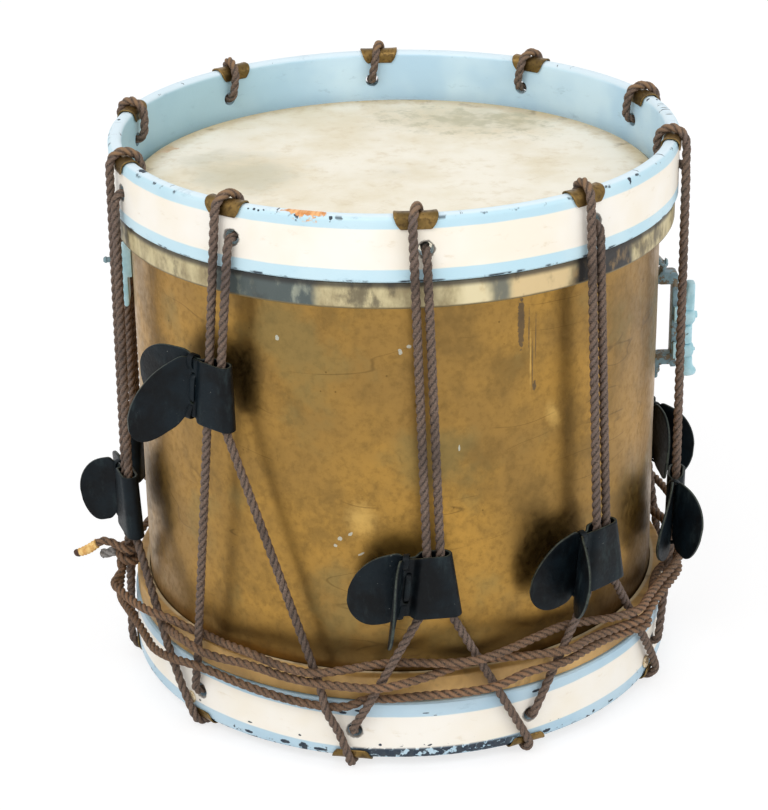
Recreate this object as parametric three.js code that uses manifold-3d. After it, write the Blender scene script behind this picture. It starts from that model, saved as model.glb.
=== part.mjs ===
// Rope-tensioned field drum: brass shell, skin heads lapped on flesh hoops, painted
// wooden counterhoops, one long tension rope drawn tight by leather ears, a loose
// wound rope, and a metal snare strainer with its butt.
// Millimetres, +Z up. The origin is on the drum's axis, on the plane it stands on.
// Angles are in degrees round the axis, from the front (-Y) towards the right (+X).
import * as THREE from 'three';
import { mergeVertices } from 'three/addons/utils/BufferGeometryUtils.js';
import Module from 'manifold-3d';

const wasm = await Module();
wasm.setup();

// Fits shared by all pieces
const gap = 0.3; // between pieces that touch
const facets = 40; // sides of every turned ring
const overrun = 2; // how far a cutting tool passes its surface
const rodSides = 8; // of round rods and their holes

// Shell
const shellRadius = 188;
const shellWall = 1.2;
const shellBevel = 6; // rolled bearing edge, along and across

// Heads
const skinThickness = 1;
const headDepth = 35.8; // from a counterhoop's outer edge to the skin
const lapHeight = 18.3; // skin lapped over the flesh hoop, as it shows
const lapWidth = 9.7; // of the lapped skin, from the shell outwards

// Counterhoops
const hoopHeight = 44.4;
const hoopThickness = 10;
const hoopPlay = 0.7; // between skin and counterhoop
const hoopRound = 4; // rounding of the outer edge
const overallHeight = 395.3; // over both counterhoops
const ropeHoleRadius = 5;

// Rope guards
const guardThickness = 1.2;
const guardLeg = 8.6; // how far it reaches down the batter hoop
const snareGuardLeg = 6.8;
const guardWidth = 29;
const guardLegWidth = 23;

// Tension rope
const ropeDiameter = 6.4;
const ropeSides = 6;
const standCutShare = 0.1; // of the rope's diameter, cut flat where the drum stands
const ropeBend = 6; // where the rope turns into a hole
const stations = 10;
const firstStation = 2;
const topHoleLead = 2.5; // from a station to its hole in the batter hoop
const bottomHoleLead = -11.8; // from a station to its hole in the snare hoop
const rimLead = -1; // from a bottom hole to where the strand reaches the edge
const knotStation = 5;
const knotSize = { across: 8, out: 4 };
const knotSides = { around: 10, along: 6 };

// Ears: leather tugs that pinch the two strands of a station
const earLeather = 2.2;
const earHeight = 46;
const earPlay = 1; // between rope and leather
const earSlack = 1.5; // at the fold
const earShiftShare = 0.65; // of the ropes' lean below the pinch, that the leather follows
const earSlit = 0.8; // between the two leaves at the lacing
const earLacing = 6; // width of the laced strip
const earShoulder = 2.5; // from a rope's middle to where the leather draws in
const earSwell = 5.5; // from there to the laced strip
const earBend = 5; // radius at which a wing turns away
const rearFlare = 7; // degrees that a rear wing stands off
const pinchBelow = 12; // from an ear's middle down to where the ropes part
const earOut = 1; // of the ropes in the ear, beyond the straight strands
const earStop = 3; // left below the lapped skin when an ear is pushed up
const strandSpacing = 9; // of the ropes in the ear
const wingDrop = 6; // of a wing's tip
const wingShares = [[0.3, 1.13], [0.6, 1.06], [0.84, 0.8], [1, 0.36]]; // along, and of the height

// Lace through an ear
const laceRadius = 1.4;
const laceSides = 4;
const laceHole = 3.8;
const laceHoleRise = 10; // from the ear's middle to each hole
const laceTuck = 3.4; // from a hole to the lace's tucked end

// Hoop discs
const discRadius = 4.8;
const discThickness = 1.2;
const discShankRadius = 2;
const discShankLength = 7;
const discHeight = 12.4; // above the snare hoop's edge
const discAngles = { left: -49, right: 62.6 };

// Strainer on the right and butt on the left. Their heights are from the middle of each,
// whose place above the snare hoop's edge is a share of the overall height.
const strainerAngle = 92;
const strainerShare = 0.611;
const buttShare = 0.759;
const fittingWidth = 20;
const plateThickness = 3;
const railWidth = 12;
const railThickness = 4;
const railStand = 12; // from the shell to the rail
const railLow = -35.5;
const railHigh = 38;
const upperFoot = { low: 30.5, high: 48.5, post: 9 };
const lowerFoot = { low: -44, high: -26, post: 7.5 };
const slideLow = -29;
const slideHigh = 29;
const slideLip = 3; // of the slide block beside the rail
const slideFront = 12.7; // from the rail to the block's face
const thumbInset = 4.5; // from the block's face to the screw's axis
const thumbHeight = 14;
const thumbRadius = 7.6;
const thumbRim = 2.2; // height of its straight rim, and of its straight neck
const thumbNeck = 4.5;
const thumbSides = 12;
const thumbStem = 2.4;
const thumbStemLength = 12;
const screwRadius = 2;
const screwInside = 5; // length inside the shell
const screwHead = { radius: 3.4, thickness: 2 };
const buttLow = -10.5;
const buttHigh = 10.5;
const buttDepth = 8.7;
const buttTongueLow = -33;
const buttTongueThickness = 4;
const buttScrewReach = 21; // from the shell to the screw's outer end

// Wound rope: its points are [angle, height, distance from the axis]. It passes before and
// behind the strands from the hitch on the left once round, along the front again, round
// a strand on the right and back to its tucked end.
const woundRope = [
  [-73.5, 76, 218.6], [-69.5, 77, 217.5], [-64.5, 77.6, 215], [-58.3, 79.6, 212.4],
  [-52.5, 80.4, 206.8], [-48.2, 77.7, 202], [-44, 75.4, 196.9], [-38.2, 77.6, 200.5],
  [-31.5, 79.4, 204], [-23.5, 77.6, 208],
  [-17.2, 78.6, 211.8], [-11, 81, 207], [-6.5, 82.6, 202], [-2.6, 83.6, 199.6], [2, 85, 202],
  [8, 86.6, 208], [14.4, 88.6, 211.8], [20, 90, 208], [27, 91, 202], [34.4, 89.4, 196.7],
  [40, 87.6, 200], [46, 85.4, 207], [52.5, 83.6, 211.8], [58, 83.6, 208], [65, 84.2, 207],
  [70.5, 85.6, 210], [75.2, 86.6, 212], [81, 87.4, 211], [86.6, 88, 212], [95, 90, 212.4],
  [104, 91, 212.4], [113, 91, 212.4], [122, 90, 212.4], [131, 88, 212.4], [140, 86, 212.4],
  [149, 84, 212.4], [158, 82, 212.4], [167, 80, 212.4], [176, 78, 212.4], [185, 76, 212.4],
  [194, 74, 212.4], [203, 72, 212.4], [212, 70, 212.4], [221, 68, 212.4], [230, 65, 212.4],
  [239, 61, 212.4], [248, 57, 212.4], [257, 53.5, 212.4], [266, 51, 212], [272.5, 50, 211.8],
  [279.5, 50, 211.8], [286, 51.8, 209.4], [292, 53.2, 208.6], [297.5, 51.2, 209], [302, 50, 210.9],
  [306, 51.6, 211.8], [310, 54, 211.8], [314.4, 57.2, 211.6], [319, 56.4, 208], [325, 53.4, 205],
  [333, 51, 204.2],
  [340, 49.2, 203.8], [345.8, 48.9, 203.7], [349.4, 51.2, 204], [353, 56.4, 202], [357, 57.2, 202.4],
  [364, 60.6, 205], [371, 63, 209], [377.4, 65.8, 211.8], [384, 69.6, 209], [391.4, 71.2, 211.8],
  [398, 70.6, 207], [405, 68.6, 204], [411, 67, 208], [415.3, 66.2, 211.8], [419, 68, 206],
  [424, 73.7, 201.6], [429, 74.8, 197.6], [433, 75, 196.9], [437, 74.4, 200], [443, 67, 206],
  [448.6, 64, 211.6],
  [456, 63.4, 208], [462.4, 64, 211.6], [466.4, 66.4, 210.4], [468, 71, 205], [467, 76, 199.6],
  [464, 78.4, 196.9], [458, 78, 202], [452, 77.6, 209], [446.8, 77.4, 211.8], [440, 77, 208],
  [434.2, 77.6, 211.8], [428, 77.4, 210], [421, 76.4, 209], [414, 74, 211.8], [407, 75.6, 207],
  [399, 78.4, 207], [392.8, 79.8, 211.8], [386, 80.6, 207], [380, 80.4, 201], [375.4, 79.6, 196.7],
  [370, 78.2, 200], [363, 75.4, 208], [355.8, 72.8, 215.2], [349, 71.6, 213], [343.6, 71, 211.8],
  [337, 70.5, 209], [332, 71.5, 207.4], [327, 71, 206.5], [322, 69.6, 207.5], [318, 71.6, 211],
  [315.2, 74, 212], [311.4, 74.6, 211], [308.4, 73, 208.6], [305.5, 71, 205.5],
];
const hitch = {
  height: 103, // where it starts on its strand
  play: 0.5, // between it and the strand
  pitch: 11.5,
  turns: 2,
  start: 60, // degrees round the strand, from straight out
  step: 30,
};
const whippingLength = 20;
const whippingRadius = 3.5;
const whippingSides = 8;
const whippedEnd = [ // right, out and down from the hitch
  [-6, 22, 1.2], [-5, 18.3, -1.2], [-3, 14, -1.4], [0.5, 9, -0.6],
];

// Where a strand is pushed outwards by the wound rope behind it.
const wedges = {
  left: { station: 0, stand: 5.2 },
  right: { station: 9, height: 49, clear: 66, radius: 211.2 },
};

// Each station, in degrees and shares: how far it and its bottom hole are off the even spacing,
// the height of its ear as a share of the overall height, how far the ear leans from the
// station, and the flare of its front wing and both wings' lengths as shares of the ear's height.
// The wound rope is hitched to the left strand of one station.
const stationTable = [
  { turn: 0.7, low: 0, earShare: 0.3693, lean: 3.4, flare: 80, frontShare: 0.7391, rearShare: 0.7826 },
  { turn: -0.6, low: 0, earShare: 0.3567, lean: 4.6, flare: 58, frontShare: 0.7826, rearShare: 0.7826 },
  { turn: 4.2, low: 4.2, earShare: 0.3137, lean: 1.8, flare: 44, frontShare: 0.6522, rearShare: 0.7391 },
  { turn: 0, low: 0, earShare: 0.344, lean: 2, flare: 32, frontShare: 0.69, rearShare: 0.7391 },
  { turn: 0, low: 0, earShare: 0.3542, lean: 2, flare: 55, frontShare: 0.7174, rearShare: 0.7826 },
  { turn: 0, low: 0, earShare: 0.3618, lean: 2.4, flare: 78, frontShare: 0.7391, rearShare: 0.7826 },
  { turn: 0, low: 0, earShare: 0.3491, lean: 1.6, flare: 60, frontShare: 0.7826, rearShare: 0.7826 },
  { turn: 0, low: 0, earShare: 0.339, lean: 2, flare: 44, frontShare: 0.6522, rearShare: 0.7391 },
  {
    turn: 0, low: 0, earShare: 0.3668, lean: -1.5, flare: 68, frontShare: 0.578, rearShare: 0.7391,
    hitched: true,
  },
  { turn: -0.4, low: 0, earShare: 0.683, lean: -1.9, flare: 45, frontShare: 0.8696, rearShare: 1.087 },
];

// Levels and radii that follow
const ropeRadius = ropeDiameter / 2;
const guardReach = gap + guardThickness + gap + ropeRadius; // hoop face to rope centre
const snareEdge = ropeDiameter * (1 - standCutShare) + gap + guardThickness + gap;
const batterEdge = snareEdge + overallHeight;
const shellLow = snareEdge + headDepth + skinThickness + gap;
const shellHigh = batterEdge - headDepth - skinThickness - gap;
const hoopInner = shellRadius + gap + skinThickness + hoopPlay;
const hoopOuter = hoopInner + hoopThickness;
const flatShare = Math.cos(Math.PI / facets); // of a radius, to the middle of a facet
const strandRadius = hoopOuter + guardReach;
const earRadius = strandRadius + earOut;
const insideRadius = hoopInner * flatShare - guardReach;
const topHoleHeight = batterEdge - hoopHeight / 2;
const bottomHoleHeight = snareEdge + hoopHeight / 2;
const lapBottom = batterEdge - hoopHeight - gap - lapHeight;

const paint = { color: 0xb9dcea, roughness: 0.42, metalness: 0 };
const brass = { color: 0xa98048, roughness: 0.36, metalness: 0.9 };
const skin = { color: 0xe9dfc8, roughness: 0.6, metalness: 0 };
const ash = { color: 0xc79f6a, roughness: 0.7, metalness: 0 };
const bronze = { color: 0x87683a, roughness: 0.4, metalness: 0.3 };
const hemp = { color: 0x59453a, roughness: 0.9, metalness: 0 };
const paleHemp = { color: 0x8a6b4c, roughness: 0.9, metalness: 0 };
const black = { color: 0x1f2426, roughness: 0.5, metalness: 0 };
const nickel = { color: 0xa9cfd6, roughness: 0.3, metalness: 0.6 };
const cream = { color: 0xf3ead6, roughness: 0.5, metalness: 0 };
const tape = { color: 0xe2b877, roughness: 0.7, metalness: 0 };

const radians = THREE.MathUtils.degToRad;
const drum = new THREE.Group();

function add(name, geometry, finish) {
  const mesh = new THREE.Mesh(geometry, new THREE.MeshStandardMaterial(finish));
  mesh.name = name;
  drum.add(mesh);
}

// A point at a distance from the axis, an angle round it and a height.
function at(radius, degrees, height) {
  const a = radians(degrees);
  return new THREE.Vector3(radius * Math.sin(a), -radius * Math.cos(a), height);
}

// The degrees that a length takes up on a circle.
function arc(length, radius) {
  return THREE.MathUtils.radToDeg(length / radius);
}

function mix(a, b, share) {
  return a + (b - a) * share;
}

function toSolid(geometry) {
  const bare = geometry.index ? geometry.toNonIndexed() : geometry.clone();
  bare.deleteAttribute('normal');
  bare.deleteAttribute('uv');
  const whole = mergeVertices(bare, 1e-4);
  return new wasm.Manifold(new wasm.Mesh({
    numProp: 3,
    vertProperties: new Float32Array(whole.attributes.position.array),
    triVerts: new Uint32Array(whole.index.array),
  }));
}

function toGeometry(solid) {
  const mesh = solid.getMesh();
  const geometry = new THREE.BufferGeometry();
  geometry.setAttribute('position', new THREE.BufferAttribute(mesh.vertProperties, 3));
  geometry.setIndex(new THREE.BufferAttribute(mesh.triVerts, 1));
  return geometry;
}

function joined(...pieces) {
  return toGeometry(pieces.map(toSolid).reduce((whole, piece) => whole.add(piece)));
}

function cut(body, ...tools) {
  return toGeometry(tools.map(toSolid).reduce((rest, tool) => rest.subtract(tool), toSolid(body)));
}

// A solid turned about the drum's axis from a closed outline of [radius, height].
function turned(outline) {
  let area = 0;
  outline.forEach(([r, z], i) => {
    const [nextR, nextZ] = outline[(i + 1) % outline.length];
    area += r * nextZ - nextR * z;
  });
  const points = (area > 0 ? outline : [...outline].reverse())
    .map(([r, z]) => new THREE.Vector2(r, z));
  const first = points.findIndex((p, i) => p.x === 0
    && points[(i + points.length - 1) % points.length].x === 0);
  const ordered = first < 0 ? [...points, points[0].clone()]
    : [...points.slice(first), ...points.slice(0, first)];
  return new THREE.LatheGeometry(ordered, facets).rotateX(Math.PI / 2);
}

// A closed body from triangles given as corner points, all turned the same way.
function fromTriangles(triangles) {
  const volume = triangles.reduce((sum, [a, b, c]) => sum + a.dot(b.clone().cross(c)), 0);
  const geometry = new THREE.BufferGeometry();
  geometry.setFromPoints(triangles.flatMap(([a, b, c]) => (volume > 0 ? [a, b, c] : [a, c, b])));
  return geometry;
}

// A tube of flat sides along a route, its joints mitred.
function tube(route, radius, sides) {
  const ways = route.slice(1).map((point, i) => point.clone().sub(route[i]).normalize());
  const steep = Math.abs(ways[0].z) > Math.abs(ways[0].x);
  let side = new THREE.Vector3(steep ? 1 : 0, 0, steep ? 0 : 1);
  const rings = route.map((point, i) => {
    const [before, after] = [ways[Math.max(i - 1, 0)], ways[Math.min(i, ways.length - 1)]];
    const way = before.clone().add(after).normalize();
    const bend = after.clone().sub(before).normalize();
    const stretch = 1 / way.dot(after) - 1;
    side = side.clone().addScaledVector(way, -side.dot(way)).normalize();
    const up = way.clone().cross(side);
    return Array.from({ length: sides }, (_, k) => {
      const turn = (2 * Math.PI * (k + 1 / 2)) / sides;
      const off = side.clone().multiplyScalar(radius * Math.cos(turn))
        .addScaledVector(up, radius * Math.sin(turn));
      return off.addScaledVector(bend, off.dot(bend) * stretch).add(point);
    });
  });
  const triangles = [];
  rings.slice(1).forEach((ring, i) => ring.forEach((corner, k) => {
    const next = (k + 1) % sides;
    triangles.push([rings[i][k], rings[i][next], ring[next]], [rings[i][k], ring[next], corner]);
  }));
  const last = rings[rings.length - 1];
  for (let k = 1; k + 1 < sides; k += 1) {
    triangles.push([rings[0][0], rings[0][k + 1], rings[0][k]], [last[0], last[k], last[k + 1]]);
  }
  return fromTriangles(triangles);
}

// A bent sheet between two faces, each a grid of points [along][across].
function sheet(face, back) {
  const triangles = [];
  const quad = (a, b, c, d) => triangles.push([a, b, c], [a, c, d]);
  const rows = face.length - 1;
  const columns = face[0].length - 1;
  for (let i = 0; i < rows; i += 1) {
    for (let j = 0; j < columns; j += 1) {
      quad(face[i][j], face[i + 1][j], face[i + 1][j + 1], face[i][j + 1]);
      quad(back[i][j], back[i][j + 1], back[i + 1][j + 1], back[i + 1][j]);
    }
    quad(face[i][0], back[i][0], back[i + 1][0], face[i + 1][0]);
    quad(face[i][columns], face[i + 1][columns], back[i + 1][columns], back[i][columns]);
  }
  for (let j = 0; j < columns; j += 1) {
    quad(face[0][j], face[0][j + 1], back[0][j + 1], back[0][j]);
    quad(face[rows][j], back[rows][j], back[rows][j + 1], face[rows][j + 1]);
  }
  return fromTriangles(triangles);
}

// A flat line moved sideways by a distance, its corners mitred.
function beside(line, distance) {
  const ways = line.slice(1).map((point, i) => point.clone().sub(line[i]).normalize());
  return line.map((point, i) => {
    const [before, after] = [ways[Math.max(i - 1, 0)], ways[Math.min(i, ways.length - 1)]];
    const way = before.clone().add(after).normalize();
    const off = new THREE.Vector2(way.y, -way.x);
    return point.clone().addScaledVector(off, distance / way.dot(after));
  });
}

// A block in a fitting's own frame: across, out from the drum's axis, and height.
function block([left, right], [near, far], [low, high]) {
  return new THREE.BoxGeometry(right - left, far - near, high - low)
    .translate((left + right) / 2, -(near + far) / 2, (low + high) / 2);
}

// A round rod that points out from the drum's axis in a fitting's own frame.
function rod(radius, [near, far], height) {
  return new THREE.CylinderGeometry(radius, radius, far - near, rodSides)
    .translate(0, -(near + far) / 2, height);
}

function turnedTo(geometry, degrees) {
  return geometry.rotateZ(radians(degrees));
}

// Shell: a brass tube whose ends are rolled in to the bearing edges.
function makeShell(holes) {
  const inner = shellRadius - shellWall;
  const lip = shellWall * Math.tan(Math.PI / 8);
  return cut(turned([
    [shellRadius, shellLow + shellBevel], [shellRadius, shellHigh - shellBevel],
    [shellRadius - shellBevel, shellHigh],
    [shellRadius - shellBevel - lip, shellHigh - shellWall],
    [inner, shellHigh - shellBevel - lip], [inner, shellLow + shellBevel + lip],
    [shellRadius - shellBevel - lip, shellLow + shellWall],
    [shellRadius - shellBevel, shellLow],
  ]), ...holes);
}

// Skin head: over the bearing edge, down, and lapped round its flesh hoop.
// level turns a depth below the counterhoop's outer edge into a height.
const lapOuter = shellRadius + lapWidth + gap;
const lapTop = hoopHeight + gap;
const lapInner = shellRadius + gap + gap;

function makeHead(level) {
  const flat = headDepth + skinThickness + gap; // depth of the bearing edge
  const edge = shellRadius - shellBevel;
  const corner = (away) => [
    [edge + away * Math.tan(Math.PI / 8), flat - away],
    [shellRadius + away, flat + shellBevel - away * Math.tan(Math.PI / 8)],
  ];
  const outer = corner(gap + skinThickness);
  const inner = corner(gap);
  return turned([
    [0, flat - gap - skinThickness], ...outer,
    [shellRadius + gap + skinThickness, lapTop], [lapOuter, lapTop],
    [lapOuter, lapTop + lapHeight], [lapInner, lapTop + lapHeight],
    [lapInner, lapTop + lapHeight - skinThickness],
    [lapOuter - skinThickness, lapTop + lapHeight - skinThickness],
    [lapOuter - skinThickness, lapTop + skinThickness],
    [shellRadius + gap, lapTop + skinThickness], inner[1], inner[0],
    [0, flat - gap],
  ].map(([r, depth]) => [r, level(depth)]));
}

function makeFleshHoop(level) {
  const top = lapTop + skinThickness + gap;
  const bottom = lapTop + lapHeight - skinThickness - gap;
  const outer = lapOuter - skinThickness - gap;
  return turned([[lapInner, top], [outer, top], [outer, bottom], [lapInner, bottom]]
    .map(([r, depth]) => [r, level(depth)]));
}

// Counterhoop: a bent wooden hoop with a rounded outer edge and drilled for the rope.
const halfRound = hoopRound * (1 - Math.SQRT1_2);

function hoopSide(away) {
  const outer = hoopOuter + away;
  const inner = hoopInner * (away ? flatShare : 1) - away;
  const corner = halfRound + away * (1 - Math.SQRT1_2);
  const depth = halfRound - away * Math.SQRT1_2;
  return [
    [outer, hoopRound], [outer - corner, depth], [hoopOuter - hoopRound, -away],
    [hoopInner + hoopRound, -away], [inner + corner, depth], [inner, hoopRound],
  ];
}

function makeCounterhoop(level, holes) {
  const outline = [[hoopOuter, hoopHeight], ...hoopSide(0), [hoopInner, hoopHeight]];
  return cut(turned(outline.map(([r, depth]) => [r, level(depth)])), ...holes);
}

// Rope guard: a saddle bent over a counterhoop's outer edge.
function makeGuard(level, degrees, leg) {
  const legShare = guardLegWidth / guardWidth;
  const grid = (away) => {
    const rim = hoopSide(away);
    const profile = [[rim[0][0], leg], ...rim, [rim[5][0], leg]];
    return profile.map(([r, depth]) => {
      const share = mix(1, legShare, Math.max(0, depth) / leg);
      return [-1, 0, 1].map((side) => {
        const half = arc((guardWidth / 2) * share, hoopOuter);
        const bulge = r > hoopInner + hoopThickness / 2 ? 1 / Math.cos(radians(half / 2)) : 1;
        return at(r * (side ? 1 : bulge), degrees + side * half, level(depth));
      });
    });
  };
  return sheet(grid(gap + guardThickness), grid(gap));
}

const batterLevel = (depth) => batterEdge - depth;
const snareLevel = (depth) => snareEdge + depth;

// Stations: where the rope passes, and the frame of the ear that pinches it.
// In an ear's frame u runs to the right, v up the strands and w outwards.
const topShares = [0, 0.12, 0.3, 0.38, 0.6, 0.68]; // of the way round between strand and hole

// The way over an edge: in from the strand, round the hoop's edge and down inside.
function overEdge(level, from, to) {
  return hoopSide(guardReach).map(([r, depth], i) => at(r, mix(from, to, topShares[i]), level(depth)));
}

// Through a hole, from inside the hoop out to the strand, which leaves up (1) or down (-1).
function throughHole(angle, height, away) {
  const soft = ropeBend * (1 - Math.SQRT1_2);
  const lift = ropeRadius + gap;
  return [
    at(insideRadius, angle, height - away * ropeBend),
    at(insideRadius + soft, angle, height - away * soft),
    at(insideRadius + ropeBend, angle, height),
    at(hoopOuter + lift * Math.SQRT1_2, angle, height + away * (gap + gap)),
    at(strandRadius, angle, height + away * lift * Math.SQRT2),
  ];
}

// Where a strand between two points passes a height, moved to a distance from the axis.
function passing(from, to, height, radius) {
  const point = from.clone().lerp(to, (from.z - height) / (from.z - to.z));
  return at(radius, THREE.MathUtils.radToDeg(Math.atan2(point.x, -point.y)), height);
}

const innerEdgeRadius = hoopOuter + ropeRadius + gap + gap + gap;
const innerEdgeHeight = snareEdge + hoopHeight + ropeRadius;

const stationAngle = (i) => firstStation + (360 / stations) * i;
const bottomHoles = stationTable.map(({ low }, i) => stationAngle(i) + bottomHoleLead + low);

const places = stationTable.map((row, i) => {
  const angle = stationAngle(i) + row.turn;
  const ear = overallHeight * row.earShare;
  const topHole = angle + topHoleLead;
  const bottomHole = bottomHoles[i];
  const nextHole = i + 1 < stations ? bottomHoles[i + 1] : bottomHoles[0] + 360;
  const centre = at(earRadius, angle + row.lean, ear);
  const across = at(1, angle + topHoleLead / 2 + 90, 0);
  const low = (side) => centre.clone().addScaledVector(across, (side * strandSpacing) / 2);
  const leftTop = at(strandRadius, angle, batterLevel(hoopRound));
  const rightTop = at(strandRadius, topHole, throughHole(topHole, topHoleHeight, -1)[4].z);
  const up = leftTop.clone().sub(low(-1)).normalize()
    .add(rightTop.clone().sub(low(1)).normalize()).normalize();
  const outward = across.clone().cross(up).normalize();
  const right = up.clone().cross(outward);
  const point = (u, v, w) => centre.clone().addScaledVector(right, u)
    .addScaledVector(up, v).addScaledVector(outward, w);
  const leftPinch = point(-strandSpacing / 2, -pinchBelow, 0);
  const rightPinch = point(strandSpacing / 2, -pinchBelow, 0);
  const leaving = throughHole(bottomHole, bottomHoleHeight, 1)[4];
  const arriving = at(strandRadius, nextHole + rimLead, snareLevel(hoopRound));
  const stand = i === wedges.left.station ? wedges.left.stand : 0;
  const leftCrossing = passing(leftPinch, leaving, innerEdgeHeight, innerEdgeRadius + stand);
  const rightCrossing = passing(rightPinch, arriving, innerEdgeHeight, innerEdgeRadius);
  const landing = passing(rightCrossing, arriving, bottomHoleHeight, strandRadius);
  const wedged = i === wedges.right.station ? [
    passing(rightPinch, arriving, wedges.right.clear, strandRadius),
    passing(rightPinch, arriving, wedges.right.height, wedges.right.radius),
  ] : [rightCrossing];
  const spread = (pinch, crossing) => {
    const way = crossing.clone().sub(pinch);
    const fall = (earHeight / 2 - pinchBelow) / -way.dot(up);
    const end = pinch.clone().addScaledVector(way, fall).sub(centre);
    return new THREE.Vector2(end.dot(right), end.dot(outward));
  };
  const ropesBelow = [spread(leftPinch, leftCrossing), spread(rightPinch, rightCrossing)];
  return {
    ...row, angle, ear, topHole, bottomHole, nextHole, point, up,
    leftPinch, rightPinch, leftCrossing, wedged, landing, ropesBelow,
  };
});

// One station of lacing, from the snare hoop's hole to the inside of the next one.
function lacing(here) {
  return [
    ...throughHole(here.bottomHole, bottomHoleHeight, 1), here.leftCrossing, here.leftPinch,
    ...overEdge(batterLevel, here.angle, here.topHole),
    ...throughHole(here.topHole, topHoleHeight, -1), here.rightPinch, ...here.wedged,
    here.landing, ...overEdge(snareLevel, here.nextHole + rimLead, here.nextHole),
  ];
}

// Least gap between stretches of a tube that don't follow each other, on points of its route.
function leastGap(route, radius) {
  const step = radius / 3;
  const apart = radius * 7;
  const curve = new THREE.CurvePath();
  route.slice(1).forEach((point, i) => curve.add(new THREE.LineCurve3(route[i], point)));
  const points = curve.getSpacedPoints(Math.round(curve.getLength() / step));
  let least = Infinity;
  points.forEach((p, i) => {
    for (let j = i + Math.ceil(apart / step); j < points.length; j += 1) {
      least = Math.min(least, p.distanceTo(points[j]));
    }
  });
  return least - 2 * radius;
}

// Ear: one strip of leather folded round both strands and laced at the left, where its
// ends stand off as two wings.
const leafOffset = (earSlit + earLeather) / 2;
const foldSteps = 4;
const sleeveReach = ropeRadius + earPlay + earLeather / 2; // rope's middle to mid-leather

function wingWay(degrees) {
  return new THREE.Vector2(-Math.cos(radians(degrees)), Math.sin(radians(degrees)));
}

// How far out the middle of the leather lies between its ropes.
function earShift([left, right]) {
  return ((left.y + right.y) / 2) * earShiftShare;
}

function earLine(place, ropes) {
  const [{ x: left }, { x: right }] = ropes;
  const out = earShift(ropes);
  const root = left - earShoulder - earSwell - earLacing;
  const wing = (side, flare, length) => {
    const start = new THREE.Vector2(root, side * leafOffset);
    const bend = 2 * earBend * Math.sin(radians(flare / 4));
    const turn = start.clone().addScaledVector(wingWay(flare / 2), bend);
    return [start, ...wingShares.map(([along]) => (
      turn.clone().addScaledVector(wingWay(flare), length * along)
    ))];
  };
  const flank = (side) => [
    new THREE.Vector2(root + earLacing, side * leafOffset),
    new THREE.Vector2(left - earShoulder, side * sleeveReach),
  ];
  const fold = Array.from({ length: foldSteps + 1 }, (_, k) => new THREE.Vector2(
    right + earSlack + sleeveReach * Math.sin((Math.PI * k) / foldSteps),
    sleeveReach * Math.cos((Math.PI * k) / foldSteps),
  ));
  return [
    ...wing(1, place.flare, earHeight * place.frontShare).reverse(), ...flank(1), ...fold,
    ...flank(-1).reverse(), ...wing(-1, rearFlare, earHeight * place.rearShare),
  ].map(({ x, y }) => new THREE.Vector2(x, y + out));
}

const ropesAbove = [-1, 1].map((side) => new THREE.Vector2((side * strandSpacing) / 2, 0));
const earRopes = (place) => [place.ropesBelow, ropesAbove];

// A point off the middle of the laced strip, at a height.
function onStrip(place, x, v, w) {
  const share = (v + earHeight / 2) / earHeight;
  const [below, above] = earRopes(place).map((ropes) => new THREE.Vector2(
    ropes[0].x - earShoulder - earSwell - earLacing / 2,
    earShift(ropes),
  ));
  const middle = below.lerp(above, share);
  return place.point(middle.x + x, v, middle.y + w);
}

function makeEar(place) {
  const [below, above] = earRopes(place).map((ropes) => earLine(place, ropes));
  const last = below.length - 1;
  const half = earHeight / 2;
  const face = (distance) => {
    const [low, high] = [beside(below, distance), beside(above, distance)];
    return low.map((point, i) => {
      const [along, tall] = wingShares[wingShares.length - 1 - Math.min(i, last - i)] ?? [0, 1];
      return [-half, half].map((edge) => {
        const v = edge * tall - wingDrop * along;
        const flat = point.clone().lerp(high[i], (v + half) / earHeight);
        return place.point(flat.x, v, flat.y);
      });
    });
  };
  const holes = [laceHoleRise, -laceHoleRise].map((v) => {
    const bore = [-laceHole / 2, laceHole / 2];
    const reach = sleeveReach + overrun;
    const square = (w) => bore.map((x) => bore.map((y) => onStrip(place, x, v + y, w)));
    return sheet(square(-reach), square(reach));
  });
  return cut(sheet(face(earLeather / 2), face(-earLeather / 2)), ...holes);
}

function makeLace(place) {
  const off = leafOffset + earLeather / 2 + gap + laceRadius;
  const past = earHeight / 2 + gap + laceRadius;
  const stops = [
    [laceHoleRise + laceTuck, off], [past, off], [past, -off], [laceHoleRise, -off],
    [laceHoleRise, off], [-laceHoleRise, off], [-laceHoleRise, -off],
    [-past, -off], [-past, off], [-laceHoleRise - laceTuck, off],
  ];
  return tube(stops.map(([v, w]) => onStrip(place, 0, v, w)), laceRadius, laceSides);
}

// Wound rope: hitched round a strand below an ear, its whipped end standing off, and
// wound twice round the drum.

function makeWinding() {
  const { leftPinch, leftCrossing } = places.find(({ hitched }) => hitched);
  const down = leftCrossing.clone().sub(leftPinch).normalize();
  const start = leftPinch.clone().addScaledVector(down, (leftPinch.z - hitch.height) / -down.z);
  const out = new THREE.Vector3(start.x, start.y, 0);
  out.addScaledVector(down, -out.dot(down)).normalize();
  const right = down.clone().cross(out).negate();
  const reach = ropeDiameter + hitch.play;
  const near = (x, y, z) => start.clone().addScaledVector(right, x)
    .addScaledVector(out, y).addScaledVector(down, z);
  const coil = [];
  for (let turned = 0; turned < 360 * hitch.turns; turned += hitch.step) {
    const a = radians(hitch.start + turned);
    coil.push(near(reach * Math.sin(a), reach * Math.cos(a), (hitch.pitch * turned) / 360));
  }
  const stops = [
    ...whippedEnd.map(([x, y, z]) => near(x, y, z)), ...coil,
    ...woundRope.map(([angle, height, radius]) => at(radius, angle, height)),
  ];
  const curve = new THREE.CatmullRomCurve3(stops, false, 'centripetal');
  return curve.getPoints((stops.length - 1) * 2);
}

// Hoop discs: flat screws in the snare hoop.
const discLevel = snareEdge + discHeight;

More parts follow.
